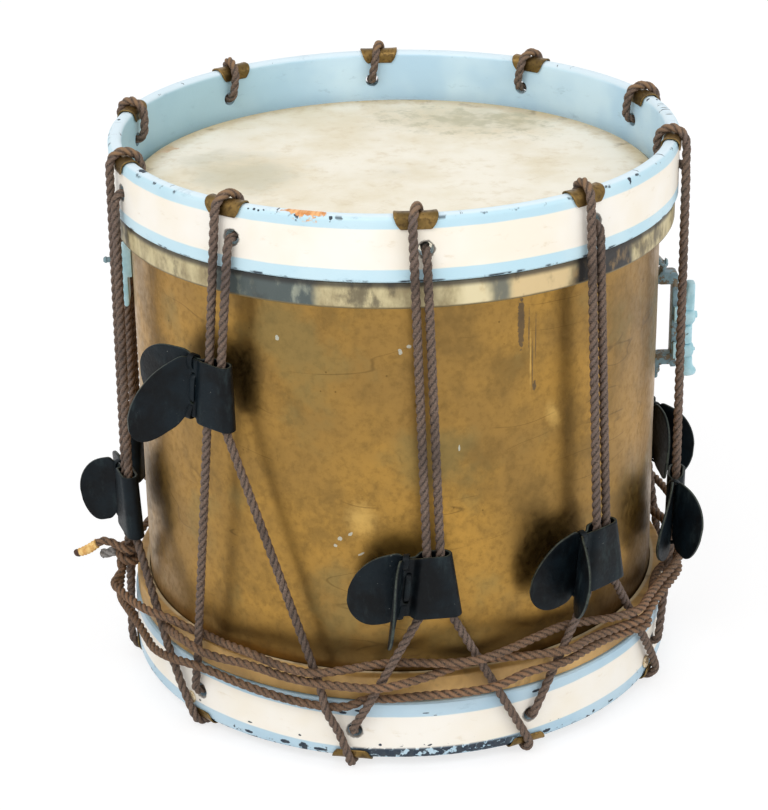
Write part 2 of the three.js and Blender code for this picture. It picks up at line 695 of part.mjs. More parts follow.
function makeDisc(degrees) {
  const face = hoopOuter + gap;
  const shank = [hoopOuter - discShankLength, face + discThickness / 2];
  return turnedTo(joined(
    rod(discRadius, [face, face + discThickness], discLevel),
    rod(discShankRadius, shank, discLevel),
  ), degrees);
}

// Fittings on the shell
const seat = shellRadius + gap;
const railNear = seat + railStand;
const railFar = railNear + railThickness;
const slideFar = railFar + gap + slideFront;
const screwHole = screwRadius + gap;
const fittingSides = [-fittingWidth / 2, fittingWidth / 2];
const railSides = [-railWidth / 2, railWidth / 2];
const strainer = (height) => snareEdge + overallHeight * strainerShare + height;
const butt = (height) => snareEdge + overallHeight * buttShare + height;
const levels = (low, high) => [strainer(low), strainer(high)];
const upperScrew = strainer((upperFoot.low + upperFoot.post + upperFoot.high) / 2);
const lowerScrew = strainer((lowerFoot.low + lowerFoot.high - lowerFoot.post) / 2);
const footScrews = [
  { name: 'strainer_foot_screw_upper', height: upperScrew },
  { name: 'strainer_foot_screw_lower', height: lowerScrew },
];
const buttMiddle = butt((buttLow + buttHigh) / 2);

function shellScrewHole(height, degrees) {
  return turnedTo(rod(screwHole, [shellRadius - shellWall - overrun, seat + overrun], height), degrees);
}

function makeStrainerFrame() {
  const foot = ({ low, high }) => block(railSides, [seat, seat + plateThickness], levels(low, high));
  const post = (low, high) => block(railSides, [seat, railFar], levels(low, high));
  const throughFoot = [seat - overrun, seat + plateThickness + overrun];
  return turnedTo(cut(
    joined(
      foot(upperFoot),
      foot(lowerFoot),
      block(railSides, [railNear, railFar], levels(railLow, railHigh)),
      post(railHigh - upperFoot.post, railHigh),
      post(lowerFoot.high - lowerFoot.post, lowerFoot.high),
    ),
    ...footScrews.map(({ height }) => rod(screwHole, throughFoot, height)),
  ), strainerAngle);
}

const thumbAxis = slideFar - thumbInset;

function makeSlideBlock() {
  const channel = railWidth / 2 + gap;
  const below = strainer(slideLow) - overrun;
  const stemTop = strainer(slideLow) + thumbStemLength + gap;
  const stemHole = new THREE.CylinderGeometry(thumbStem + gap, thumbStem + gap, stemTop - below, rodSides)
    .rotateX(Math.PI / 2)
    .translate(0, -thumbAxis, (below + stemTop) / 2);
  return turnedTo(cut(
    block(fittingSides, [railFar - slideLip, slideFar], levels(slideLow, slideHigh)),
    block([-channel, channel], [railNear - overrun, railFar + gap], [below, strainer(slideHigh) + overrun]),
    stemHole,
  ), strainerAngle);
}

function makeThumbScrew() {
  const top = strainer(slideLow) - gap;
  const low = top - thumbHeight;
  const outline = [
    [0, low], [thumbRadius, low], [thumbRadius, low + thumbRim],
    [thumbNeck, top - thumbRim], [thumbNeck, top], [thumbStem, top],
    [thumbStem, top + thumbStemLength], [0, top + thumbStemLength],
  ].map(([r, z]) => new THREE.Vector2(r, z));
  const screw = new THREE.LatheGeometry(outline, thumbSides)
    .rotateX(Math.PI / 2)
    .translate(0, -thumbAxis, 0);
  return turnedTo(screw, strainerAngle);
}

function makeFootScrew(height) {
  const face = seat + plateThickness + gap;
  return turnedTo(joined(
    rod(screwRadius, [shellRadius - shellWall - screwInside, face + screwHead.thickness / 2], height),
    rod(screwHead.radius, [face, face + screwHead.thickness], height),
  ), strainerAngle);
}

function makeButtBracket() {
  const tongueFar = seat + buttDepth - plateThickness / 2;
  const tongue = [tongueFar - buttTongueThickness, tongueFar];
  return turnedTo(cut(
    joined(
      block(fittingSides, [seat, seat + buttDepth], [butt(buttLow), butt(buttHigh)]),
      block(fittingSides, tongue, [butt(buttTongueLow), buttMiddle]),
    ),
    rod(screwHole, [seat - overrun, seat + buttDepth + overrun], buttMiddle),
  ), strainerAngle + 180);
}

function makeButtScrew() {
  const reach = [shellRadius - shellWall - screwInside, shellRadius + buttScrewReach];
  return turnedTo(rod(screwRadius, reach, buttMiddle), strainerAngle + 180);
}

// Everything is put together here.
const screwHoles = [
  ...footScrews.map(({ height }) => shellScrewHole(height, strainerAngle)),
  shellScrewHole(buttMiddle, strainerAngle + 180),
];
const throughHoop = [hoopInner - overrun, hoopOuter + overrun];
const ropeHole = (angle, height) => turnedTo(rod(ropeHoleRadius, throughHoop, height), angle);
const intoHoop = [hoopOuter - discShankLength - gap, hoopOuter + overrun];
const discHoles = Object.values(discAngles).map((angle) => turnedTo(
  rod(discShankRadius + gap, intoHoop, discLevel),
  angle,
));

add('brass_shell', makeShell(screwHoles), brass);
add('batter_head', makeHead(batterLevel), skin);
add('snare_head', makeHead(snareLevel), skin);
add('batter_flesh_hoop', makeFleshHoop(batterLevel), ash);
add('snare_flesh_hoop', makeFleshHoop(snareLevel), ash);
add('batter_counterhoop', makeCounterhoop(
  batterLevel,
  places.map((place) => ropeHole(place.topHole, topHoleHeight)),
), paint);
add('snare_counterhoop', makeCounterhoop(
  snareLevel,
  [...places.map((place) => ropeHole(place.bottomHole, bottomHoleHeight)), ...discHoles],
), paint);

const route = [];
for (let n = 0; n < stations; n += 1) route.push(...lacing(places[(knotStation + n) % stations]));
const standReach = hoopOuter + hoopThickness;
const belowStand = block([-standReach, standReach], [-standReach, standReach], [-ropeDiameter, 0]);
add('tension_rope', cut(tube(route, ropeRadius, ropeSides), belowStand), hemp);
console.log('tension rope: least gap to itself', leastGap(route, ropeRadius).toFixed(2), 'mm');

const winding = makeWinding();
const tip = winding[0].clone().sub(winding[1]).normalize();
const whipping = [gap, gap + whippingLength]
  .map((along) => winding[0].clone().addScaledVector(tip, along));
add('drag_rope', tube(winding, ropeRadius, ropeSides), paleHemp);
add('drag_rope_whipping', tube(whipping, whippingRadius, whippingSides), tape);
console.log('drag rope: least gap to itself', leastGap(winding, ropeRadius).toFixed(2), 'mm');

const knotHigh = bottomHoleHeight - ropeBend - gap;
const knotLow = snareLevel(hoopRound) + gap;
add('rope_joining_knot', new THREE.SphereGeometry(1, knotSides.around, knotSides.along).rotateX(Math.PI / 2)
  .scale(knotSize.across, knotSize.out, (knotHigh - knotLow) / 2)
  .translate(0, -(insideRadius - gap), (knotHigh + knotLow) / 2)
  .rotateZ(radians(places[knotStation].bottomHole)), hemp);

places.forEach((place, i) => {
  const number = String(i + 1).padStart(2, '0');
  add(`batter_rope_guard_${number}`, makeGuard(
    batterLevel,
    mix(place.angle, place.topHole, topShares[2]),
    guardLeg,
  ), bronze);
  add(`snare_rope_guard_${number}`, makeGuard(
    snareLevel,
    mix(place.bottomHole + rimLead, place.bottomHole, topShares[2]),
    snareGuardLeg,
  ), bronze);
  add(`tug_ear_${number}`, makeEar(place), black);
  add(`tug_lace_${number}`, makeLace(place), black);
  const laceTop = earHeight / 2 + gap + laceRadius + laceRadius;
  const travel = (lapBottom - earStop - place.ear) / place.up.z - laceTop;
  const way = place.up.toArray().map((n) => n.toFixed(5)).join(' ');
  console.log(`tug_ear_${number}: slides along ${way} at most ${travel.toFixed(1)}`);
});

Object.entries(discAngles).forEach(([side, angle]) => add(`hoop_disc_${side}`, makeDisc(angle), cream));
add('strainer_frame', makeStrainerFrame(), nickel);
add('strainer_slide_block', makeSlideBlock(), nickel);
add('strainer_thumb_screw', makeThumbScrew(), nickel);
footScrews.forEach(({ name, height }) => add(name, makeFootScrew(height), nickel));
add('butt_bracket', makeButtBracket(), nickel);
add('butt_screw', makeButtScrew(), nickel);

export default drum;
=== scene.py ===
"""A rope-tensioned field drum, dressed round its fixed frame.

Metres, +Z up, the drum's axis on Z. Angles are in degrees round the axis, from the
front (-Y) towards the right (+X).
"""
import math
import random
from collections import namedtuple

import bmesh
import bpy
import numpy as np
from mathutils import Matrix, Vector, noise


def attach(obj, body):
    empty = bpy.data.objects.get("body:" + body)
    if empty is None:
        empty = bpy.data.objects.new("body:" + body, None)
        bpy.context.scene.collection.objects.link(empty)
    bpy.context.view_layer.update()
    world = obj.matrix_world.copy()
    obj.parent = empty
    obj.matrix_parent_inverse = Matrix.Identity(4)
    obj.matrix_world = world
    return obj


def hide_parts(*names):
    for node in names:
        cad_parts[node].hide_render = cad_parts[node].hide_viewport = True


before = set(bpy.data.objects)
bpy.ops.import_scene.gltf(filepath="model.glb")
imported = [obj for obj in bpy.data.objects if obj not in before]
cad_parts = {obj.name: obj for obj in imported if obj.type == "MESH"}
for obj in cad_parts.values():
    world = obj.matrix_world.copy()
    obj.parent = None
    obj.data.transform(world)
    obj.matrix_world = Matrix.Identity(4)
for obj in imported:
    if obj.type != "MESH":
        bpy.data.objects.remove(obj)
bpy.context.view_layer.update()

# Camera, as it stood for the photograph
CAMERA_ELEVATION = 23.652
CAMERA_ROLL = -0.976
CAMERA_DISTANCE = 1.7419
CAMERA_TARGET = Vector((-0.00999, 0, 0.18736))
CAMERA_SENSOR = 36
CAMERA_LENS = 104.92  # in millimetres on a sensor 36 mm high

# Hoops and shell
GAP = 0.0003
FLAT_SHARE = math.cos(math.pi / 40)  # of a radius, to the middle of one of 40 facets
SHELL_RADIUS = 0.188
SHELL_WALL = 0.0012
SHELL_BEVEL = 0.006
SKIN = 0.001
HEAD_DEPTH = 0.0358
LAP_HEIGHT = 0.0183
LAP_WIDTH = 0.0097
HOOP_HEIGHT = 0.0444
HOOP_THICKNESS = 0.010
HOOP_PLAY = 0.0007
HOOP_ROUND = 0.004
OVERALL_HEIGHT = 0.3953
ROPE_HOLE_RADIUS = 0.005
GUARD_THICKNESS = 0.0012
GUARD_WIDTH = 0.029
GUARD_LEG_WIDTH = 0.023
GUARD_LEG = 0.0086
SNARE_GUARD_LEG = 0.0068

# Tension rope
ROPE_RADIUS = 0.0032
ROPE_LAY = 0.0195  # along the rope for one turn of a strand
STAND_CUT = 0.00064
ROPE_BEND = 0.006
STATIONS = 10
FIRST_STATION = 2
TOP_HOLE_LEAD = 2.5
BOTTOM_HOLE_LEAD = -11.8
RIM_LEAD = -1
KNOT_STATION = 5

# Ears and their laces
EAR_LEATHER = 0.0022
EAR_HEIGHT = 0.046
EAR_PLAY = 0.001
EAR_SLACK = 0.0015
EAR_SLIT = 0.0008
EAR_LACING = 0.006
EAR_SHOULDER = 0.0025
EAR_SWELL = 0.0055
EAR_BEND = 0.005
REAR_FLARE = 7
PINCH_BELOW = 0.012
EAR_RADIUS = 0.206
STRAND_SPACING = 0.009
WING_DROP = 0.006
WING_CURL = 26  # degrees that a wing turns along its length
LACE_HOLE_RISE = 0.010
LACE_TUCK = 0.0034
LACE_WIDTH = 0.0044
LACE_THICKNESS = 0.0016
LACE_LEAN = 0.003  # of the lace where it passes over an ear's edge

# Wound rope
HITCH_STATION = 8
HITCH_HEIGHT = 0.103
HITCH_PLAY = 0.0005
HITCH_PITCH = 0.0115
HITCH_TURNS = 2
WHIPPING_LENGTH = 0.020
WHIPPING_RADIUS = 0.0035
# To the right of its strand, outwards and down; STUB is given alike
WHIPPED_END = (
    (-0.006, 0.022, 0.0012), (-0.005, 0.0183, -0.0012),
    (-0.003, 0.014, -0.0014), (0.0005, 0.009, -0.0006),
)
# Its course: degrees round the drum, height and distance from the axis
WOUND_ROPE = [
    (-73.5, 0.076, 0.2186), (-69.5, 0.077, 0.2175), (-64.5, 0.0776, 0.215),
    (-58.3, 0.0796, 0.2124), (-52.5, 0.0804, 0.2068), (-48.2, 0.0777, 0.202),
    (-44, 0.0754, 0.1969), (-38.2, 0.0776, 0.2005), (-31.5, 0.0794, 0.204),
    (-23.5, 0.0776, 0.208), (-17.2, 0.0786, 0.2118), (-11, 0.081, 0.207), (-6.5, 0.0826, 0.202),
    (-2.6, 0.0836, 0.1996), (2, 0.085, 0.202), (8, 0.0866, 0.208), (14.4, 0.0886, 0.2118),
    (20, 0.09, 0.208), (27, 0.091, 0.202), (34.4, 0.0894, 0.1967), (40, 0.0876, 0.2),
    (46, 0.0854, 0.207), (52.5, 0.0836, 0.2118), (58, 0.0836, 0.208), (65, 0.0842, 0.207),
    (70.5, 0.0856, 0.21), (75.2, 0.0866, 0.212), (81, 0.0874, 0.211), (86.6, 0.088, 0.212),
    (95, 0.09, 0.2124), (104, 0.091, 0.2124), (113, 0.091, 0.2124), (122, 0.09, 0.2124),
    (131, 0.088, 0.2124), (140, 0.086, 0.2124), (149, 0.084, 0.2124), (158, 0.082, 0.2124),
    (167, 0.08, 0.2124), (176, 0.078, 0.2124), (185, 0.076, 0.2124), (194, 0.074, 0.2124),
    (203, 0.072, 0.2124), (212, 0.07, 0.2124), (221, 0.068, 0.2124), (230, 0.065, 0.2124),
    (239, 0.061, 0.2124), (248, 0.057, 0.2124), (257, 0.0535, 0.2124), (266, 0.051, 0.212),
    (272.5, 0.05, 0.2118), (279.5, 0.05, 0.2118), (286, 0.0518, 0.2094), (292, 0.0532, 0.2086),
    (297.5, 0.0512, 0.209), (302, 0.05, 0.2109), (306, 0.0516, 0.2118), (310, 0.054, 0.2118),
    (314.4, 0.0572, 0.2116), (319, 0.0564, 0.208), (325, 0.0534, 0.205), (333, 0.051, 0.2042),
    (340, 0.0492, 0.2038), (345.8, 0.0489, 0.2037), (349.4, 0.0512, 0.204), (353, 0.0564, 0.202),
    (357, 0.0572, 0.2024), (364, 0.0606, 0.205), (371, 0.063, 0.209), (377.4, 0.0658, 0.2118),
    (384, 0.0696, 0.209), (391.4, 0.0712, 0.2118), (398, 0.0706, 0.207), (405, 0.0686, 0.204),
    (411, 0.067, 0.208), (415.3, 0.0662, 0.2118), (419, 0.068, 0.206), (424, 0.0737, 0.2016),
    (429, 0.0748, 0.1976), (433, 0.075, 0.1969), (437, 0.0744, 0.2), (443, 0.067, 0.206),
    (448.6, 0.064, 0.2116), (456, 0.0634, 0.208), (462.4, 0.064, 0.2116), (466.4, 0.0664, 0.2104),
    (468, 0.071, 0.205), (467, 0.076, 0.1996), (464, 0.0784, 0.1969), (458, 0.078, 0.202),
    (452, 0.0776, 0.209), (446.8, 0.0774, 0.2118), (440, 0.077, 0.208), (434.2, 0.0776, 0.2118),
    (428, 0.0774, 0.21), (421, 0.0764, 0.209), (414, 0.074, 0.2118), (407, 0.0756, 0.207),
    (399, 0.0784, 0.207), (392.8, 0.0798, 0.2118), (386, 0.0806, 0.207), (380, 0.0804, 0.201),
    (375.4, 0.0796, 0.1967), (370, 0.0782, 0.2), (363, 0.0754, 0.208), (355.8, 0.0728, 0.2152),
    (349, 0.0716, 0.213), (343.6, 0.071, 0.2118), (337, 0.0705, 0.209), (332, 0.0715, 0.2074),
    (327, 0.071, 0.2065), (322, 0.0696, 0.2075), (318, 0.0716, 0.211), (315.2, 0.074, 0.212),
    (311.4, 0.0746, 0.211), (308.4, 0.073, 0.2086), (305.5, 0.071, 0.2055),
]
# Where a strand is pushed outwards by the wound rope behind it
LEFT_WEDGE = {"station": 0, "stand": 0.0052}
RIGHT_WEDGE = {"station": 9, "height": 0.049, "clear": 0.066, "radius": 0.2112}

# Each station: how far it and its bottom hole are off the even spacing, the height of its
# ear, how far the ear leans, the flare and the lengths of its two wings, and how far the
# tips of the two hang down.
Station = namedtuple("Station", "turn low ear lean flare front rear drops",
                     defaults=[(WING_DROP, WING_DROP)])
STATION_TABLE = [
    Station(0.7, 0, 0.146, 3.4, 80, 0.035, 0.036, (0.015, WING_DROP)),
    Station(-0.6, 0, 0.141, 4.6, 58, 0.036, 0.036),
    Station(4.2, 4.2, 0.124, 1.8, 44, 0.030, 0.034),
    Station(0, 0, 0.136, 2, 32, 0.0317, 0.034),
    Station(0, 0, 0.140, 2, 55, 0.033, 0.036),
    Station(0, 0, 0.143, 2.4, 78, 0.034, 0.036),
    Station(0, 0, 0.138, 1.6, 60, 0.036, 0.036),
    Station(0, 0, 0.134, 2, 44, 0.030, 0.034),
    Station(0, 0, 0.145, -1.5, 68, 0.0266, 0.034),
    Station(-0.4, 0, 0.270, -1.9, 45, 0.040, 0.050, (0.028, WING_DROP)),
]

# Discs and fittings; their heights are above the snare hoop's edge
DISC_RADIUS = 0.0048
DISC_THICKNESS = 0.0012
DISC_HEIGHT = 0.0124
DISC_ANGLES = {"left": -49, "right": 62.6}
STRAINER_ANGLE = 92

# Levels and radii that follow
ROPE_CLEAR = GAP + GUARD_THICKNESS + GAP + ROPE_RADIUS
SNARE_EDGE = 2 * ROPE_RADIUS - STAND_CUT + GAP + GUARD_THICKNESS + GAP
BATTER_EDGE = SNARE_EDGE + OVERALL_HEIGHT
HOOP_INNER = SHELL_RADIUS + GAP + SKIN + HOOP_PLAY
HOOP_OUTER = HOOP_INNER + HOOP_THICKNESS
STRAND_RADIUS = HOOP_OUTER + ROPE_CLEAR
INSIDE_RADIUS = HOOP_INNER * FLAT_SHARE - ROPE_CLEAR
TOP_HOLE_HEIGHT = BATTER_EDGE - HOOP_HEIGHT / 2
BOTTOM_HOLE_HEIGHT = SNARE_EDGE + HOOP_HEIGHT / 2
ROOT_HALF = math.sqrt(0.5)
TOP_SHARES = (0, 0.12, 0.3, 0.38, 0.6, 0.68)  # of the way round between strand and hole
AROUND = 256  # points round a turned piece

# Values for the visual pieces alone
HALF_ROUND = HOOP_ROUND * (1 - ROOT_HALF)
INNER_EDGE_RADIUS = HOOP_OUTER + ROPE_RADIUS + 3 * GAP
INNER_EDGE_HEIGHT = SNARE_EDGE + HOOP_HEIGHT + ROPE_RADIUS
EAR_SHIFT_SHARE = 0.65  # how far an ear follows its strands outwards
LEAF_OFFSET = (EAR_SLIT + EAR_LEATHER) / 2
SLEEVE_REACH = ROPE_RADIUS + EAR_PLAY + EAR_LEATHER / 2
LACE_HOLE = 0.0038
WING_STEPS = 14
EAR_ROWS = 12
WING_HEIGHT = 1.13
WING_WIDEST = 0.4  # share of a wing's length
WING_ROUND = 0.606  # from there to where its round end would close
NOTCH_SHARE = 0.13
NOTCH_HEIGHT = 0.92
WING_DROOP = 0.004
GUARD_CURL = 0.0005
GUARD_ACROSS = (-1, -0.9, -0.72, -0.45, -0.2, 0, 0.2, 0.45, 0.72, 0.9, 1)
HEAD_RINGS = (0.02, 0.15, 0.3, 0.45, 0.6, 0.72, 0.82, 0.9, 0.95)  # shares of a head's radius
HEAD_RINGS_UNDER = (0.99, 0.85, 0.6, 0.3, 0.02)
LAP_RADIUS = SHELL_RADIUS + LAP_WIDTH + GAP
BATTER_LAP_LOW = BATTER_EDGE - HOOP_HEIGHT - GAP - LAP_HEIGHT
STRAND_POINTS = 6  # round one strand of a laid rope
STRAND_SHARE = 0.60  # a strand's radius, as a share of the rope's
STRAND_RINGS = 12  # rings of points for one turn of a strand
CURVE_STEPS = 6  # between two points of a smooth curve
KNOT_STEPS = 96
KNOT_WIDTH = 0.0052
KNOT_DEPTH = 0.0018
HITCH_START = 60  # degrees round the strand, from outside
HITCH_STEP = 30
STUB = ((-0.004, 0.009, 0.010), (-0.006, 0.0135, 0.0125), (-0.008, 0.019, 0.0150))
SHELL_ROWS = 44
DISC_HOLE = 0.0023
DISC_HOLE_DEPTH = 0.0074
SCREW_RADIUS = 0.002
SCREW_HOLE = SCREW_RADIUS + GAP
SEAT = SHELL_RADIUS + GAP
RAIL_NEAR = SEAT + 0.012
RAIL_FAR = RAIL_NEAR + 0.004
RAIL_WIDTH = 0.012
RAIL_LOW = 0.206
SLIDE_FAR = RAIL_FAR + GAP + 0.0127
THUMB_AXIS = SLIDE_FAR - 0.0045
THUMB_RADIUS = 0.0076
THUMB_STEM = 0.0024
FOOT_SCREWS = (0.2855, 0.20275)
BUTT_SCREW = 0.300
SCREW_TIP = SHELL_RADIUS - SHELL_WALL - 0.005
SHELL_SCREWS = [*[(SNARE_EDGE + z, STRAINER_ANGLE) for z in FOOT_SCREWS],
                (SNARE_EDGE + BUTT_SCREW, STRAINER_ANGLE + 180)]
BATTER_CREAM = (0.0083, 0.0354)  # depth of the cream band below the batter hoop's edge
SNARE_CREAM = (0.0082, 0.0334)  # its height above the snare hoop's edge
ROOM_LIGHT = 0.72
FLOOR_LIFT = 0.72
FLOOR_SIZE = 12
FLOOR_DROP = 0.0002
LAMP_TARGET = Vector((0, 0, 0.2))
MIDDLE = (0.19, 0.21)  # heights between the drum's lower and upper half

# Chips on the snare hoop: angle, height above its edge, half sizes and lean
SNARE_CHIPS = [
    (-4.8, 0.0114, 0.0011, 0.0009, 0), (5.1, 0.0106, 0.0016, 0.0007, 10),
    (15.2, 0.0061, 0.003, 0.0024, 0), (20.3, 0.0024, 0.004, 0.0018, 0),
    (-21.2, 0.0126, 0.0011, 0.0007, 0), (-32.6, 0.0128, 0.0016, 0.0006, 0),
    (-46.3, 0.0133, 0.0010, 0.0008, 0), (-12, 0.0355, 0.0030, 0.0011, 0),
    (-9, 0.0378, 0.0022, 0.0008, 0), (4.4, 0.0362, 0.0022, 0.0004, 0),
    (6.2, 0.0340, 0.0014, 0.0003, 0), (-33, 0.0048, 0.0034, 0.0010, 0),
    (-24.5, 0.0048, 0.0036, 0.0014, 0), (-20.5, 0.0044, 0.0030, 0.0026, 0),
    (-17, 0.0040, 0.0050, 0.0012, 0), (-9.5, 0.0042, 0.0040, 0.0016, 0),
    (30, 0.0045, 0.0030, 0.0014, 0), (42.5, 0.0045, 0.0012, 0.0012, 0),
    (48, 0.0045, 0.0024, 0.0007, 0), (27.5, 0.0395, 0.0035, 0.0010, 0),
]
# Chips on the batter hoop's rim: angle, distance from the axis and half size
RIM_CHIPS = [
    (-59.5, 0.194, 0.0050), (-53.6, 0.192, 0.0014), (-50.5, 0.1925, 0.0010),
    (-47.5, 0.1905, 0.0040), (-27, 0.1985, 0.0012), (-26, 0.1988, 0.0009),
    (-28.2, 0.1988, 0.0008), (-18.4, 0.1990, 0.0018), (-12, 0.1990, 0.0016), (50, 0.1990, 0.0018),
    (104, 0.1960, 0.0016), (-96, 0.1955, 0.0022),
]
# Bare wood there: angle, distance from the axis and half sizes
WOOD_CHIPS = [
    (-16.8, 0.1950, 0.0150, 0.0050), (179, 0.1985, 0.0030, 0.0015),
    (-178, 0.1980, 0.0022, 0.0011), (163, 0.1985, 0.0040, 0.0020),
]
# Blocks on the upper head's lap: from and to which angle, and two tones
LAP_BLOCKS = [
    (-37, -15, (78, 88, 86), (160, 164, 146)), (11.5, 16.8, (226, 212, 170), (206, 184, 136)),
    (17, 21.5, (112, 112, 98), (168, 156, 120)), (22, 34, (218, 192, 142), (182, 160, 116)),
    (35, 53, (44, 42, 40), (160, 130, 86)), (96, 131, (70, 80, 80), (150, 156, 138)),
    (150, 167, (112, 112, 98), (168, 156, 120)), (-172, -140, (76, 78, 74), (150, 140, 112)),
    (-118, -101, (112, 112, 98), (168, 156, 120)),
]
# Marks on the shell: angle, height, half sizes and lean
BRASS_DRIPS = [
    (25.2, 0.318, 0.0024, 0.018, 0), (27.0, 0.313, 0.0004, 0.012, 0),
    (27.9, 0.288, 0.0003, 0.018, 0), (28.6, 0.305, 0.0003, 0.016, 0),
    (28.4, 0.272, 0.0014, 0.0032, 0),
]
BRASS_GOLD = [(27.4, 0.291, 0.0005, 0.022, 0), (33.1, 0.247, 0.006, 0.011, 20),
              (-8.1, 0.186, 0.011, 0.014, 0)]
BRASS_PAINT = [
    (-24.8, 0.311, 0.0013, 0.0018, 0), (0.3, 0.3068, 0.0012, 0.0024, 10),
    (2.0, 0.3105, 0.0015, 0.0013, 0), (-12.6, 0.1705, 0.0016, 0.0016, 0),
    (-10.4, 0.1745, 0.0016, 0.0010, 40), (-13.6, 0.165, 0.0012, 0.0012, 0),
    (-8.3, 0.160, 0.0022, 0.0007, 30), (-1.3, 0.156, 0.0012, 0.0012, 0),
    (12.0, 0.236, 0.0006, 0.0022, 0),
]
# Marks on the upper head: its x and y, half sizes and lean
SKIN_PATCH = (-0.106, 0.000, 0.050, 0.056, 15)
SKIN_STAIN = (0.064, 0.126, 0.074, 0.042, -8)
SKIN_RUBS = [(-0.167, 0.061, 0.012, 0.006, 50), (-0.148, 0.115, 0.014, 0.006, 35)]


def at(radius, degrees, height):
    """A point at a distance from the axis, an angle round it and a height."""
    a = math.radians(degrees)
    return Vector((radius * math.sin(a), -radius * math.cos(a), height))


def outwards(x, y, z, degrees):
    """A point y out from the axis towards an angle, x to the right of that and z high."""
    a = math.radians(degrees)
    return Vector((x * math.cos(a) + y * math.sin(a), x * math.sin(a) - y * math.cos(a), z))


def turns(count):
    """Even angles once round, in radians."""
    return [2 * math.pi * i / count for i in range(count)]


def mix(a, b, share):
    return a + (b - a) * share


def eased(share):
    """A share held between 0 and 1, with soft ends."""
    share = min(1, max(0, share))
    return share * share * (3 - 2 * share)


def squared(value, power):
    """A sine or cosine drawn towards 1 or -1, which squares a circle off."""
    return math.copysign(abs(value) ** power, value)


def batter_level(depth):
    return BATTER_EDGE - depth


def snare_level(depth):
    return SNARE_EDGE + depth


# Mesh making

def surface(name, rings, around=True, along=False, caps=False, sharp=40):
    """A mesh from rings of points, all of one length. around closes each ring, along joins
    the last ring to the first, and caps fills the first and last ring."""
    rings = np.asarray([[tuple(p) for p in ring] for ring in rings], float)
    rows, columns, _ = rings.shape
    ids = np.arange(rows * columns).reshape(rows, columns)
    right = np.roll(ids, -1, 1)
    quads = np.stack([ids, right, np.roll(right, -1, 0), np.roll(ids, -1, 0)], -1)
    quads = quads[:rows if along else rows - 1, :columns if around else columns - 1]
    faces = quads.reshape(-1, 4).tolist()
    if caps:
        faces += [ids[0][::-1].tolist(), ids[-1].tolist()]
    mesh = bpy.data.meshes.new("rings")
    mesh.from_pydata(rings.reshape(-1, 3).tolist(), [], faces)
    return joined(name, [mesh], sharp)


def joined(name, meshes, sharp=40):
    """One mesh, its faces turned outwards and shaded smooth up to an angle in degrees."""
    work = bmesh.new()
    for mesh in meshes:
        work.from_mesh(mesh)
    bmesh.ops.recalc_face_normals(work, faces=work.faces)
    whole = bpy.data.meshes.new(name)
    work.to_mesh(whole)
    work.free()
    return smoothed(whole, sharp)


def smoothed(mesh, sharp):
    mesh.shade_smooth()
    mesh.set_sharp_from_angle(angle=math.radians(sharp))
    return mesh


def mapped(mesh, name, values, wraps=False):
    """Gives each corner of the mesh its vertex's pair of values, as a UV map. Where it wraps,
    the first value goes round from 0 to 1."""
    corners = np.zeros(len(mesh.loops), np.int32)
    mesh.loops.foreach_get("vertex_index", corners)
    pairs = np.asarray(values, np.float32)[corners]
    if wraps:
        quads = pairs[:len(pairs) // 4 * 4, 0].reshape(-1, 4)
        seam = quads.max(1, keepdims=True) - quads.min(1, keepdims=True) > 0.5
        quads += (seam & (quads < 0.5))
    layer = mesh.uv_layers.new(name=name)
    layer.data.foreach_set("uv", pairs.ravel())


def placed(name, data):
    """A new object in the scene."""
    made = bpy.data.objects.new(name, data)
    bpy.context.scene.collection.objects.link(made)
    return made


def shown(name, mesh, finish, body, node):
    """A piece of the object: it rides a body and stands for its frame node."""
    piece = placed(name, mesh)
    mesh.materials.clear()
    mesh.materials.append(finish)
    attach(piece, body)
    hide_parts(node)
    return piece


def carved(mesh, steps, sharp=40):
    """The mesh after modifiers, each given as its kind and settings."""
    holder = placed("work", mesh)
    for kind, settings in steps:
        modifier = holder.modifiers.new(kind.lower(), kind)
        for key, value in settings.items():
            setattr(modifier, key, value)
    graph = bpy.context.evaluated_depsgraph_get()
    result = bpy.data.meshes.new_from_object(holder.evaluated_get(graph), depsgraph=graph)
    bpy.data.objects.remove(holder)
    return smoothed(result, sharp)


def less(mesh, tools, sharp=40):
    """The mesh with tools taken out of it; the tools don't touch each other."""
    cutter = placed("cutter", joined("cutter", tools))
    steps = [("BOOLEAN", {"operation": "DIFFERENCE", "solver": "EXACT", "object": cutter})]
    result = carved(mesh, steps, sharp)
    bpy.data.objects.remove(cutter)
    return result


def thickened(sheet, thickness):
    """A sheet made solid on both sides of its middle, and smoothed."""
    return carved(sheet, [("SOLIDIFY", {"thickness": thickness, "offset": 0}),
                          ("SUBSURF", {"levels": 1})], 60)


def bevelled(mesh, width):
    return carved(mesh, [("BEVEL", {"width": width, "segments": 2, "limit_method": "ANGLE"})], 35)


def rounded(points, reach, steps=4):
    """A line with each corner rounded off."""
    line = [points[0]]
    for before, corner, after in zip(points, points[1:], points[2:]):
        near = min(reach, (before - corner).length / 2, (after - corner).length / 2)
        start = corner + (before - corner).normalized() * near
        end = corner + (after - corner).normalized() * near
        for i in range(steps + 1):
            t = i / steps
            line.append(start.lerp(corner, t).lerp(corner.lerp(end, t), t))
    return [*line, points[-1]]


